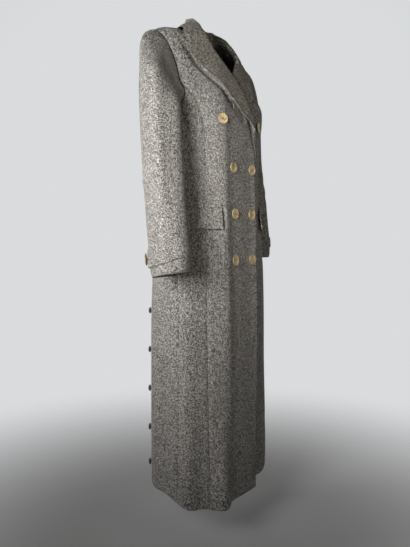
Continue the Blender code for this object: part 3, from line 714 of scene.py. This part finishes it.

# %% [markdown]
# Tweed
#
# The cloth is woven from yarns spun of dark, middle and pale wool, so it reads as pepper and salt from
# near and taupe grey from far. Plain noise would give specks without a weave, and real yarns would be
# millions of faces. So one node group weaves it: every yarn changes shade along its length, warp and weft
# pass over each other two by two, and the yarn on top shows. It also gives a height for the round yarns,
# and paints shade into the dips between them. The nap is a little sheen.

# %% Shader nodes


def group_of(name, inputs, outputs):
    """An empty shader group with named sockets, and its two ends."""
    group = bpy.data.node_groups.new(name, "ShaderNodeTree")
    for label, kind, value in inputs:
        socket = group.interface.new_socket(label, in_out="INPUT", socket_type=kind)
        if value is not None:
            socket.default_value = value
    for label, kind in outputs:
        group.interface.new_socket(label, in_out="OUTPUT", socket_type=kind)
    return group, group.nodes.new("NodeGroupInput"), group.nodes.new("NodeGroupOutput")


def feed(node, sources):
    """Links sources to a node's inputs, or sets constants on them."""
    for key, source in sources.items():
        if isinstance(source, bpy.types.NodeSocket):
            node.id_data.links.new(source, node.inputs[key])
        else:
            node.inputs[key].default_value = source


def add(tree, kind, settings=(), sources=()):
    """A node with its settings and what its inputs get."""
    node = tree.nodes.new(kind)
    for key, value in dict(settings).items():
        setattr(node, key, value)
    feed(node, dict(sources))
    return node


def ramp(tree, source, low, high):
    """A soft step of a value from 0 at low to 1 at high."""
    values = {"Value": source, "From Min": low, "From Max": high}
    return add(tree, "ShaderNodeMapRange", {"interpolation_type": "SMOOTHSTEP"}, values).outputs["Result"]


def mixed(tree, share, first, second):
    """A colour mixed from two by a share."""
    return add(tree, "ShaderNodeMix", {"data_type": "RGBA"}, {0: share, 6: first, 7: second}).outputs[2]


def choice(tree, share, first, second):
    """One of two values."""
    return add(tree, "ShaderNodeMix", {"data_type": "FLOAT"}, {0: share, 2: first, 3: second}).outputs[0]


def sum_of(tree, operation, first, second=0.0):
    """One sum of one or two values."""
    return add(tree, "ShaderNodeMath", {"operation": operation}, {0: first, 1: second}).outputs[0]


def noise_over(tree, place, scale, detail):
    """Noise over a flat map."""
    values = {"Vector": place, "Scale": scale, "Detail": detail}
    return add(tree, "ShaderNodeTexNoise", {"noise_dimensions": "2D"}, values).outputs


print("node helpers", [helper.__name__ for helper in (ramp, mixed, choice, sum_of, noise_over)])

# %% Weave
YARN_JUMP = 17.37
WARP_SEED, WEFT_SEED = 3.2, 701.7
SWAY_SCALES, SWAY_DETAIL = (300.0, 1500.0), 1.0
FUZZ_SCALE, FUZZ_DETAIL, FUZZ_SHARE = 1500.0, 2.0, 0.3
NOISE_MIDDLE = 0.5
TWILL_REPEAT, LAST_WARP_STEP = 4.0, 1.5
DARK_TO_MIDDLE, MIDDLE_TO_PALE = (0.40, 0.52), (0.54, 0.64)
# Painted shade: along this ramp the dips between yarns are mixed towards the dark wool.
PAINTED_SHADE_RAMP = (-0.20, 0.65)
FLOAT_ROUND = 0.5


def yarn_shade(tree, number, along, fleck, seed):
    """The shade of a yarn, which drifts along its length."""
    row = sum_of(tree, "ADD", sum_of(tree, "MULTIPLY", number, YARN_JUMP), seed)
    spot = add(tree, "ShaderNodeCombineXYZ", {}, {0: row, 1: sum_of(tree, "DIVIDE", along, fleck)})
    return noise_over(tree, spot.outputs[0], 1.0, 0.0)[0]


def weave_group():
    """A two by two twill of flecked yarns as a colour and a height, with painted shade between yarns."""
    group, start, end = group_of(
        "tweed weave",
        [
            ("Vector", "NodeSocketVector", None),
            ("Yarn", "NodeSocketFloat", 0.0011),
            ("Fleck", "NodeSocketFloat", 0.0017),
            ("Wander", "NodeSocketFloat", 0.0008),
            ("Dark", "NodeSocketColor", (0.026, 0.024, 0.0215, 1)),
            ("Middle", "NodeSocketColor", (0.085, 0.0795, 0.0723, 1)),
            ("Pale", "NodeSocketColor", (0.84, 0.809, 0.763, 1)),
        ],
        [("Color", "NodeSocketColor"), ("Height", "NodeSocketFloat")],
    )
    wool = start.outputs
    bent = wool["Vector"]
    calc = partial(sum_of, group)
    for scale in SWAY_SCALES:
        sway = noise_over(group, wool["Vector"], scale, SWAY_DETAIL)
        parts = {0: sway["Color"], 1: wool["Wander"], 2: bent}
        bent = add(group, "ShaderNodeVectorMath", {"operation": "MULTIPLY_ADD"}, parts).outputs[0]
    across, along, _ = add(group, "ShaderNodeSeparateXYZ", {}, {0: bent}).outputs
    warp_at, weft_at = calc("DIVIDE", across, wool["Yarn"]), calc("DIVIDE", along, wool["Yarn"])
    warp, weft = calc("FLOOR", warp_at), calc("FLOOR", weft_at)
    step = calc("FLOORED_MODULO", calc("ADD", warp, weft), TWILL_REPEAT)
    weft_on_top = calc("GREATER_THAN", step, LAST_WARP_STEP)
    shade = choice(
        group, weft_on_top, yarn_shade(group, warp, along, wool["Fleck"], WARP_SEED),
        yarn_shade(group, weft, across, wool["Fleck"], WEFT_SEED),
    )
    fuzz = noise_over(group, wool["Vector"], FUZZ_SCALE, FUZZ_DETAIL)[0]
    shade = calc("ADD", shade, calc("MULTIPLY", calc("SUBTRACT", fuzz, NOISE_MIDDLE), FUZZ_SHARE))
    base = mixed(group, ramp(group, shade, *DARK_TO_MIDDLE), wool["Dark"], wool["Middle"])
    yarn = mixed(group, ramp(group, shade, *MIDDLE_TO_PALE), base, wool["Pale"])
    side = choice(group, weft_on_top, calc("FRACT", warp_at), calc("FRACT", weft_at))
    side = calc("SINE", calc("MULTIPLY", side, math.pi))
    end_to_end = choice(group, weft_on_top, calc("ADD", weft_at, warp), calc("ADD", warp_at, weft))
    bow = calc("ABSOLUTE", calc("SINE", calc("MULTIPLY", end_to_end, math.pi / 2)))
    swell = calc("MULTIPLY", side, calc("POWER", bow, FLOAT_ROUND))
    # Painted shade in the dips between the round yarns.
    yarn_with_painted_shade = mixed(group, ramp(group, swell, *PAINTED_SHADE_RAMP), wool["Dark"], yarn)
    feed(end, {"Color": yarn_with_painted_shade, "Height": swell})
    return group


weave = weave_group()
print("weave", len(weave.nodes), "nodes")

# %% Tweed finish
TWEED = {"Roughness": 0.9, "Specular IOR Level": 0.2, "Sheen Weight": 0.15, "Sheen Roughness": 0.45}
YARN_BUMP = {"Strength": 0.5, "Distance": 0.0005}
# The second tint is darker and browner: it paints shade on the lapels and collar, which are the same cloth.
NO_TINT, PAINTED_SHADE_TINT = (1.0, 1.0, 1.0, 1.0), (0.90, 0.86, 0.79, 1.0)


def plain_material(name, values):
    """A material with one Principled shader and its plain values."""
    material = bpy.data.materials.new(name)
    material.use_nodes = True
    shader = material.node_tree.nodes["Principled BSDF"]
    feed(shader, values)
    return material, material.node_tree, shader


def tweed_material(name, shade):
    """The cloth's finish, with a tint over the flecks; the darker tint is painted shade."""
    material, tree, shader = plain_material(name, TWEED)
    place = add(tree, "ShaderNodeUVMap", {"uv_map": "cloth"}).outputs[0]
    woven = add(tree, "ShaderNodeGroup", {"node_tree": weave}, {"Vector": place}).outputs
    tint = add(tree, "ShaderNodeMix", {"data_type": "RGBA", "blend_type": "MULTIPLY"},
               {0: 1.0, 6: woven["Color"], 7: shade})
    bump = add(tree, "ShaderNodeBump", {}, {**YARN_BUMP, "Height": woven["Height"]})
    feed(shader, {"Base Color": tint.outputs[2], "Normal": bump.outputs[0]})
    return material


tweed = tweed_material("tweed cloth", NO_TINT)
# The lapels and collar get the copy with painted shade.
tweed_painted_shade = tweed_material("tweed turned back", PAINTED_SHADE_TINT)
for node, piece in cloth.items():
    piece.data.materials.clear()
    piece.data.materials.append(tweed_painted_shade if node == "collar" or node.endswith("lapel") else tweed)
print("tweed on", len(cloth), "pieces")

# %% [markdown]
# Where the buttons sit
#
# Eight large horn buttons close the front and one sits on each cuff tab. Two rows of small dark domes
# follow the back seams. Typing their places again could go wrong, so they come from the solids: the thin
# way of a button is its facing, and its narrow end, the shank, points to the cloth. A seat then moves with
# the crease of the cloth under it.

# %% Button seats
Seat = namedtuple("Seat", "place facing radius twist")
SHANK_FOOT = 0.0004
SEAT_STEP = 0.006
END_PART = 8
TWIST_STEP = 37


def seat_of(node, number, shift):
    """The place on the cloth, facing and radius of a button solid."""
    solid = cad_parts[node]
    matrix = np.array(solid.matrix_world)
    points = np.unique((coords(solid.data) @ matrix[:3, :3].T + matrix[:3, 3]).round(6), axis=0)
    middle = points.mean(axis=0)
    facing = np.linalg.eigh(np.cov((points - middle).T))[1][:, 0]
    reach = (points - middle) @ facing
    spread = np.linalg.norm(points - middle - reach[:, None] * facing, axis=1)
    order = np.argsort(reach)
    end = len(points) // END_PART
    if spread[order[-end:]].mean() < spread[order[:end]].mean():
        facing, reach = -facing, -reach
    place = middle + facing * (reach.min() - SHANK_FOOT)
    beside = np.cross(facing, (0.0, 0.0, 1.0))
    above = np.cross(beside, facing)
    spots = np.array([place, place + beside * SEAT_STEP, place + above * SEAT_STEP])
    spots = spots + shift(spots)
    tilted = np.cross(spots[1] - spots[0], spots[2] - spots[0])
    tilted *= np.sign(tilted @ facing) / np.linalg.norm(tilted)
    return Seat(spots[0], tilted, spread.max(), math.radians(TWIST_STEP * number))


def seats_of(nodes):
    """The seats of some button solids, each on the body or on its sleeve."""
    return [
        seat_of(node, n, partial(sleeve_shift, side=side_of(node)) if node in CUFF_BUTTONS else body_shift)
        for n, node in enumerate(nodes)
    ]


FRONT_BUTTONS = ["front_button_" + str(n) for n in range(1, 9)]
CUFF_BUTTONS = ["right_cuff_button", "left_cuff_button"]
BACK_BUTTONS = [side + "_back_button_" + str(n) for side in SIDE for n in range(1, 6)]
front_seats, cuff_seats, back_seats = map(seats_of, (FRONT_BUTTONS, CUFF_BUTTONS, BACK_BUTTONS))
for name, seats in (("front", front_seats), ("cuff", cuff_seats), ("back", back_seats)):
    print(name, "seats", len(seats), "radius", [round(seat.radius * 1000, 2) for seat in seats])

# %% [markdown]
# Turned buttons
#
# A horn button is turned on a lathe from a disc, with a rounded rim, a shallow dish and four drilled
# holes. The template does the same: a profile is spun, four rods are cut out of it, and its distance from
# the middle is kept as a value so the finish can darken the rim. Holes in the finish alone would look flat
# from near. The back buttons are turned domes.

# %% Turned domes
SPIN_STEPS = 40
# Foot: radius and height. Turned profile: share of the button's radius and height
DOME_FOOT = [(0.0025, 0.0002), (0.0025, 0.0014)]
DOME_TURNED = [
    (0.80, 0.0014), (0.95, 0.0020), (1.0, 0.0030), (0.965, 0.0044), (0.88, 0.0057), (0.74, 0.0068),
    (0.56, 0.0076), (0.34, 0.0081), (0.12, 0.0083),
]


def linked(name, shape):
    """An object in the scene from a bmesh."""
    mesh = bpy.data.meshes.new(name)
    shape.to_mesh(mesh)
    shape.free()
    return put_in_scene(name, mesh)


def skin(shape, rings):
    """Closes rings of corners to a skin with flat ends."""
    count = len(rings[0])
    for low, high in zip(rings[:-1], rings[1:]):
        for k in range(count):
            after = (k + 1) % count
            shape.faces.new((low[k], low[after], high[after], high[k]))
    shape.faces.new(rings[0][::-1])
    shape.faces.new(rings[-1])


def spun(name, foot, turned, radius):
    """A turned button, from its foot to its face."""
    shape = bmesh.new()
    angles = np.arange(SPIN_STEPS) * 2 * math.pi / SPIN_STEPS
    rings = []
    for reach, height in foot + [(share * radius, height) for share, height in turned]:
        rings.append([shape.verts.new((reach * math.cos(a), reach * math.sin(a), height)) for a in angles])
    skin(shape, rings)
    return linked(name, shape)


def mark_rim(made, radius):
    """Keeps each corner's distance from the middle as a share of the radius."""
    points = coords(made.data)
    rim = made.data.attributes.new("rim", "FLOAT", "POINT")
    rim.data.foreach_set("value", np.hypot(points[:, 0], points[:, 1]) / radius)


dome_template = spun("dome", DOME_FOOT, DOME_TURNED, back_seats[0].radius)
mark_rim(dome_template, back_seats[0].radius)
print(dome_template.name, "faces", len(dome_template.data.polygons))

# %% Drilled horn discs
HORN_FOOT = [(0.0050, 0.0018)]
HORN_TURNED = [
    (0.72, 0.0018), (0.93, 0.0022), (0.99, 0.0030), (1.0, 0.0038), (0.975, 0.0047), (0.92, 0.0054),
    (0.86, 0.0056), (0.79, 0.0053), (0.72, 0.0048), (0.62, 0.0045), (0.30, 0.0044),
]
HOLES, HOLE_SIDES, FIRST_HOLE = 4, 14, 45
HOLE_RADIUS, HOLE_REACH = 0.00105, 0.0024
DRILL_LENGTH, DRILL_HEIGHT = 0.012, 0.004


def discard(*made):
    """Removes helper objects."""
    for piece in made:
        bpy.data.objects.remove(piece)


def drill(disc):
    """Cuts the thread holes through a turned disc."""
    shape = bmesh.new()
    for k in range(HOLES):
        angle = math.radians(FIRST_HOLE + 360 / HOLES * k)
        across, along = HOLE_REACH * math.cos(angle), HOLE_REACH * math.sin(angle)
        bmesh.ops.create_cone(
            shape, cap_ends=True, segments=HOLE_SIDES, radius1=HOLE_RADIUS, radius2=HOLE_RADIUS,
            depth=DRILL_LENGTH, matrix=Matrix.Translation((across, along, DRILL_HEIGHT)),
        )
    rods = linked("rods", shape)
    cut = disc.modifiers.new("drill", "BOOLEAN")
    cut.operation = "DIFFERENCE"
    cut.solver = "EXACT"
    cut.object = rods
    settle(disc, disc.name)
    discard(rods)


horn_template = spun("horn disc", HORN_FOOT, HORN_TURNED, front_seats[0].radius)
drill(horn_template)
mark_rim(horn_template, front_seats[0].radius)
print(horn_template.name, "faces", len(horn_template.data.polygons))

# %% [markdown]
# Button thread
#
# A horn button is sewn with two bars of three strands over its face, and the thread is wrapped round the
# shank below it. A curve with a bevel would do, but its round ends are open, so each strand is a closed
# skin of rings.

# %% Thread template
STRAND_SIDES = 7
SLANT = Vector((0.31, 0.17, 0.94))
BAR_LAYS, BAR_RADIUS = (-0.00045, 0.0, 0.00045), 0.00028
BAR_ARC = [(-1.0, 0.0026), (-0.9, 0.0044), (-0.5, 0.0049), (0.5, 0.0049), (0.9, 0.0044), (1.0, 0.0026)]
BAR_PLACE = HOLE_REACH * 0.707
WRAP_STEPS, WRAP_HALF_TURN = 40, 5
WRAP_REACH, WRAP_RADIUS = 0.0024, 0.0004
WRAP_LOW, WRAP_RISE = 0.0002, 0.0017


def strand(shape, points, radius):
    """A round strand of thread along points."""
    angles = [2 * math.pi * k / STRAND_SIDES for k in range(STRAND_SIDES)]
    rings = []
    for number, point in enumerate(points):
        way = (points[min(number + 1, len(points) - 1)] - points[max(number - 1, 0)]).normalized()
        side = way.cross(SLANT).normalized()
        up = way.cross(side)
        ring = [point + radius * (math.cos(a) * side + math.sin(a) * up) for a in angles]
        rings.append([shape.verts.new(corner) for corner in ring])
    skin(shape, rings)


def button_thread():
    """Two bars of thread over the face, and the wrapped shank under the button."""
    shape = bmesh.new()
    for side in (-1, 1):
        for lay in BAR_LAYS:
            across = side * BAR_PLACE + lay
            strand(shape, [Vector((across, BAR_PLACE * along, z)) for along, z in BAR_ARC], BAR_RADIUS)
    turns = [
        (k * math.pi / WRAP_HALF_TURN, WRAP_LOW + WRAP_RISE * k / WRAP_STEPS) for k in range(WRAP_STEPS + 1)
    ]
    wrap = [Vector((WRAP_REACH * math.cos(a), WRAP_REACH * math.sin(a), z)) for a, z in turns]
    strand(shape, wrap, WRAP_RADIUS)
    bmesh.ops.recalc_face_normals(shape, faces=shape.faces[:])
    return linked("button thread", shape)


thread_template = button_thread()
print(thread_template.name, "faces", len(thread_template.data.polygons))

# %% [markdown]
# Horn, thread and dark buttons
#
# Horn is ivory with honey and brown clouds that differ from button to button, darker towards the rim, and
# polished. One group makes clouds of any size, so horn and dark buttons can share it. The thread is dark and
# dull. The back buttons are almost black.

# %% Button finishes
HORN = {"Roughness": 0.3, "Coat Weight": 0.25, "Coat Roughness": 0.15}
IVORY, HONEY = (0.62, 0.52, 0.31, 1.0), (0.36, 0.24, 0.10, 1.0)
BROWN, RIM_BROWN = (0.10, 0.055, 0.022, 1.0), (0.22, 0.14, 0.06, 1.0)
RIM_RAMP, RIM_SHARE = (0.78, 1.0), 0.6
NEAR_BLACK, SMOKE = (0.022, 0.018, 0.016, 1.0), (0.05, 0.042, 0.036, 1.0)
CLOUDS = {"Detail": 3.0, "Roughness": 0.55, "Distortion": 0.8}


def clouds_group():
    """Soft cloudy patches in a piece's own space as a share from 0 to 1."""
    group, start, end = group_of(
        "clouds",
        [("Vector", "NodeSocketVector", None), ("Size", "NodeSocketFloat", 0.01),
         ("Low", "NodeSocketFloat", 0.4), ("High", "NodeSocketFloat", 0.6)],
        [("Share", "NodeSocketFloat")],
    )
    asked = start.outputs
    scale = sum_of(group, "DIVIDE", 1.0, asked["Size"])
    noise = add(group, "ShaderNodeTexNoise", {}, {**CLOUDS, "Vector": asked["Vector"], "Scale": scale})
    feed(end, {"Share": ramp(group, noise.outputs[0], asked["Low"], asked["High"])})
    return group


clouds = clouds_group()


def cloud_share(tree, size, low, high):
    """A cloud share in a material."""
    place = add(tree, "ShaderNodeTexCoord").outputs["Object"]
    values = {"Vector": place, "Size": size, "Low": low, "High": high}
    return add(tree, "ShaderNodeGroup", {"node_tree": clouds}, values).outputs["Share"]


def horn_material():
    """Polished pale horn with brown clouds and a darker rim."""
    material, tree, shader = plain_material("polished horn", HORN)
    rim = add(tree, "ShaderNodeAttribute", {"attribute_name": "rim"})
    edge = ramp(tree, rim.outputs["Fac"], *RIM_RAMP)
    base = mixed(tree, cloud_share(tree, size=0.016, low=0.42, high=0.70), IVORY, HONEY)
    base = mixed(tree, cloud_share(tree, size=0.009, low=0.58, high=0.70), base, BROWN)
    # Towards the rim the horn is mixed with a darker brown.
    base = mixed(tree, sum_of(tree, "MULTIPLY", edge, RIM_SHARE), base, RIM_BROWN)
    feed(shader, {"Base Color": base})
    return material


def dark_material():
    """Almost black, with faint clouds."""
    material, tree, shader = plain_material("dark button", {"Roughness": 0.35})
    base = mixed(tree, cloud_share(tree, size=0.006, low=0.4, high=0.7), NEAR_BLACK, SMOKE)
    feed(shader, {"Base Color": base})
    return material


horn = horn_material()
thread = plain_material("button thread", {"Roughness": 0.8, "Base Color": (0.035, 0.026, 0.018, 1)})[0]
dark = dark_material()
print("button finishes", horn.name, thread.name, dark.name)

# %% [markdown]
# Repeating the buttons
#
# Copies made in a loop would do, but a node tree keeps the rule in one place: it stands a template on
# every point, turns its face along the point's own facing and gives it a twist, so the four holes don't
# all line up. The result is made real and kept as plain mesh.

# %% Buttons on their seats


def repeat_tree():
    """Stands a template on points that carry a facing and a twist."""
    tree = bpy.data.node_groups.new("stand on seats", "GeometryNodeTree")
    for label, kind in (("Geometry", "Geometry"), ("Template", "Object"), ("Finish", "Material")):
        tree.interface.new_socket(label, in_out="INPUT", socket_type="NodeSocket" + kind)
    tree.interface.new_socket("Geometry", in_out="OUTPUT", socket_type="NodeSocketGeometry")
    start = add(tree, "NodeGroupInput").outputs
    shape = add(tree, "GeometryNodeObjectInfo", {}, {"Object": start["Template"]})
    facing, twist = [
        add(tree, "GeometryNodeInputNamedAttribute", {"data_type": kind}, {"Name": name}).outputs
        for name, kind in (("facing", "FLOAT_VECTOR"), ("twist", "FLOAT"))
    ]
    aim = add(tree, "FunctionNodeAlignRotationToVector", {"axis": "Z"}, {"Vector": facing["Attribute"]})
    spin = add(tree, "FunctionNodeAxisAngleToRotation", {}, {"Angle": twist["Attribute"]})
    turn = add(tree, "FunctionNodeRotateRotation", {"rotation_space": "LOCAL"},
               {"Rotation": aim.outputs[0], "Rotate By": spin.outputs[0]})
    parts = {"Points": start["Geometry"], "Instance": shape.outputs["Geometry"], "Rotation": turn.outputs[0]}
    stand = add(tree, "GeometryNodeInstanceOnPoints", {}, parts)
    real = add(tree, "GeometryNodeRealizeInstances", {}, {0: stand.outputs[0]})
    paint = add(tree, "GeometryNodeSetMaterial", {},
                {"Geometry": real.outputs[0], "Material": start["Finish"]})
    add(tree, "NodeGroupOutput", {}, {"Geometry": paint.outputs[0]})
    return tree


stand_on_seats = repeat_tree()


def stood(name, seats, template, finish):
    """One piece with the template on every seat."""
    mesh = bpy.data.meshes.new(name)
    mesh.from_pydata([tuple(seat.place) for seat in seats], [], [])
    facings = np.array([seat.facing for seat in seats]).ravel()
    mesh.attributes.new("facing", "FLOAT_VECTOR", "POINT").data.foreach_set("vector", facings)
    mesh.attributes.new("twist", "FLOAT", "POINT").data.foreach_set("value", [seat.twist for seat in seats])
    piece = put_in_scene(name, mesh)
    repeat = piece.modifiers.new("stand", "NODES")
    repeat.node_group = stand_on_seats
    sockets = stand_on_seats.interface.items_tree
    inputs = {item.name: item.identifier for item in sockets if item.in_out == "INPUT"}
    repeat[inputs["Template"]] = template
    repeat[inputs["Finish"]] = finish
    settle(piece, name)
    return piece


front_buttons = stood("front_buttons", front_seats, horn_template, horn)
front_threads = stood("front_button_threads", front_seats, thread_template, thread)
cuff_buttons = stood("cuff_buttons", cuff_seats, horn_template, horn)
cuff_threads = stood("cuff_button_threads", cuff_seats, thread_template, thread)
back_buttons = stood("back_buttons", back_seats, dome_template, dark)
discard(horn_template, thread_template, dome_template)
for piece in (front_buttons, front_threads, cuff_buttons, cuff_threads, back_buttons):
    print(piece.name, "faces", len(piece.data.polygons))

# %% [markdown]
# Light, floor and camera
#
# The coat stands beside a large window on the wearer's right: the sleeve and side are bright, the front
# falls into soft shade and the hem is darkest. One large lamp would light the front as much, so four with
# narrow beams stand round the coat, and a pale surround fills the shade. The camera looks level from the
# wearer's right front, with its picture shifted down so the coat's uprights stay upright.

# %% Floor and surround
YAW = math.radians(50)
LOOK = Vector((math.sin(YAW), math.cos(YAW), 0))
FLOOR, FLOOR_RADIUS, FLOOR_SIDES = -1.42, 3.0, 96
FLOOR_FINISH = {"Roughness": 0.8, "Base Color": (0.55, 0.55, 0.56, 1)}
FLOOR_FADE = {"From Min": 0.3, "From Max": 1.6, "To Min": 1.0, "To Max": 0.0}
NEAR_SIDE, FAR_SIDE = (0.085, 0.082, 0.076, 1.0), (0.70, 0.71, 0.72, 1.0)
NEAR_TO_FAR = (0.45, 0.92)


def pale_floor():
    """A round pale floor that fades out."""
    disc = bmesh.new()
    bmesh.ops.create_circle(disc, cap_ends=True, segments=FLOOR_SIDES, radius=FLOOR_RADIUS)
    made = linked("floor", disc)
    made.location = (0, 0, FLOOR)
    material, tree, shader = plain_material("pale floor", FLOOR_FINISH)
    place = add(tree, "ShaderNodeTexCoord").outputs["Object"]
    far = add(tree, "ShaderNodeVectorMath", {"operation": "LENGTH"}, {0: place}).outputs["Value"]
    fade = add(tree, "ShaderNodeMapRange", {"interpolation_type": "SMOOTHSTEP"},
               {**FLOOR_FADE, "Value": far})
    feed(shader, {"Alpha": fade.outputs["Result"]})
    made.data.materials.append(material)


def pale_surround():
    """Light from all round that is bright behind the coat and dimmer on the camera's side."""
    world = bpy.data.worlds.new("surround")
    bpy.context.scene.world = world
    world.use_nodes = True
    tree = world.node_tree
    place = add(tree, "ShaderNodeTexCoord").outputs["Generated"]
    along = add(tree, "ShaderNodeVectorMath", {"operation": "DOT_PRODUCT"}, {0: place, 1: tuple(LOOK)})
    colour = mixed(tree, ramp(tree, along.outputs["Value"], *NEAR_TO_FAR), NEAR_SIDE, FAR_SIDE)
    feed(tree.nodes["Background"], {"Color": colour})


pale_floor()
pale_surround()
bpy.context.scene.view_settings.view_transform = "Standard"
print("floor at", FLOOR, "m")

# %% Lamps
DAYLIGHT, LAMPLIGHT = (1.0, 0.985, 0.97), (1.0, 0.95, 0.86)
LAMP_AWAY, LAMP_SIZE, LAMP_SPREAD, LAMP_TILT = 1.35, 0.5, math.radians(88), 0.02
Lamp = namedtuple("Lamp", "name azimuth height power colour")
LAMPS = [
    Lamp("window behind", 38, -0.36, 2.4, DAYLIGHT),
    Lamp("window", -16, -0.36, 5.9, DAYLIGHT),
    Lamp("fill front", -80, -0.36, 0.85, LAMPLIGHT),
    Lamp("fill back", 130, 0.40, 3.0, DAYLIGHT),
]


def stand_lamp(lamp):
    """A square soft lamp with a grid that narrows its beam, at an azimuth round the coat."""
    angle = math.radians(lamp.azimuth)
    light = bpy.data.lights.new(lamp.name, "AREA")
    light.shape = "SQUARE"
    light.size = LAMP_SIZE
    light.energy = lamp.power
    light.color = lamp.colour
    light.spread = LAMP_SPREAD
    place = Vector((-math.cos(angle) * LAMP_AWAY, math.sin(angle) * LAMP_AWAY, lamp.height))
    aim = Vector((0, 0, lamp.height - LAMP_TILT))
    made = put_in_scene(lamp.name, light)
    made.location = place
    made.rotation_euler = (aim - place).to_track_quat("-Z", "Y").to_euler()


for lamp in LAMPS:
    stand_lamp(lamp)
print("lamps", [lamp.name for lamp in LAMPS])

# %% Camera
DISTANCE, EYE = 1.60, -0.584
PICTURE, FOCUS, SENSOR = 547, 560, 36
SHIFT_ACROSS, SHIFT_DOWN = -5.5, -37.5

camera = put_in_scene("camera", bpy.data.cameras.new("camera"))
upright = LOOK.to_track_quat("-Z", "Y").to_matrix().to_4x4()
camera.matrix_world = Matrix.Translation(-LOOK * DISTANCE + Vector((0, 0, EYE))) @ upright
camera.data.sensor_width = SENSOR
camera.data.lens = FOCUS / PICTURE * SENSOR
camera.data.shift_x = SHIFT_ACROSS / PICTURE
camera.data.shift_y = SHIFT_DOWN / PICTURE
bpy.context.scene.camera = camera
print("camera", DISTANCE, "m away")

# %% [markdown]
# Attaching the pieces
#
# Every cloth piece and button piece is attached to the root of the body, and the solids they replace are
# hidden. The panels and sleeves hang, the lapels and collar are folded, and the flaps, jets and tabs lie on
# the cloth under them.

# %% Attaching the pieces
Cut = namedtuple("Cut", "width length area held rests_on")

for node, piece in cloth.items():
    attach(piece, "root")
    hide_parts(node)
for node, piece in cloth.items():
    side, _, plain = node.partition("_")
for piece, nodes, finish in (
    (front_buttons, FRONT_BUTTONS, "horn"), (cuff_buttons, CUFF_BUTTONS, "horn"),
    (back_buttons, BACK_BUTTONS, "dark_button"), (front_threads, [], "horn"), (cuff_threads, [], "horn"),
):
    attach(piece, "root")
    if nodes:
        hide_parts(*nodes)
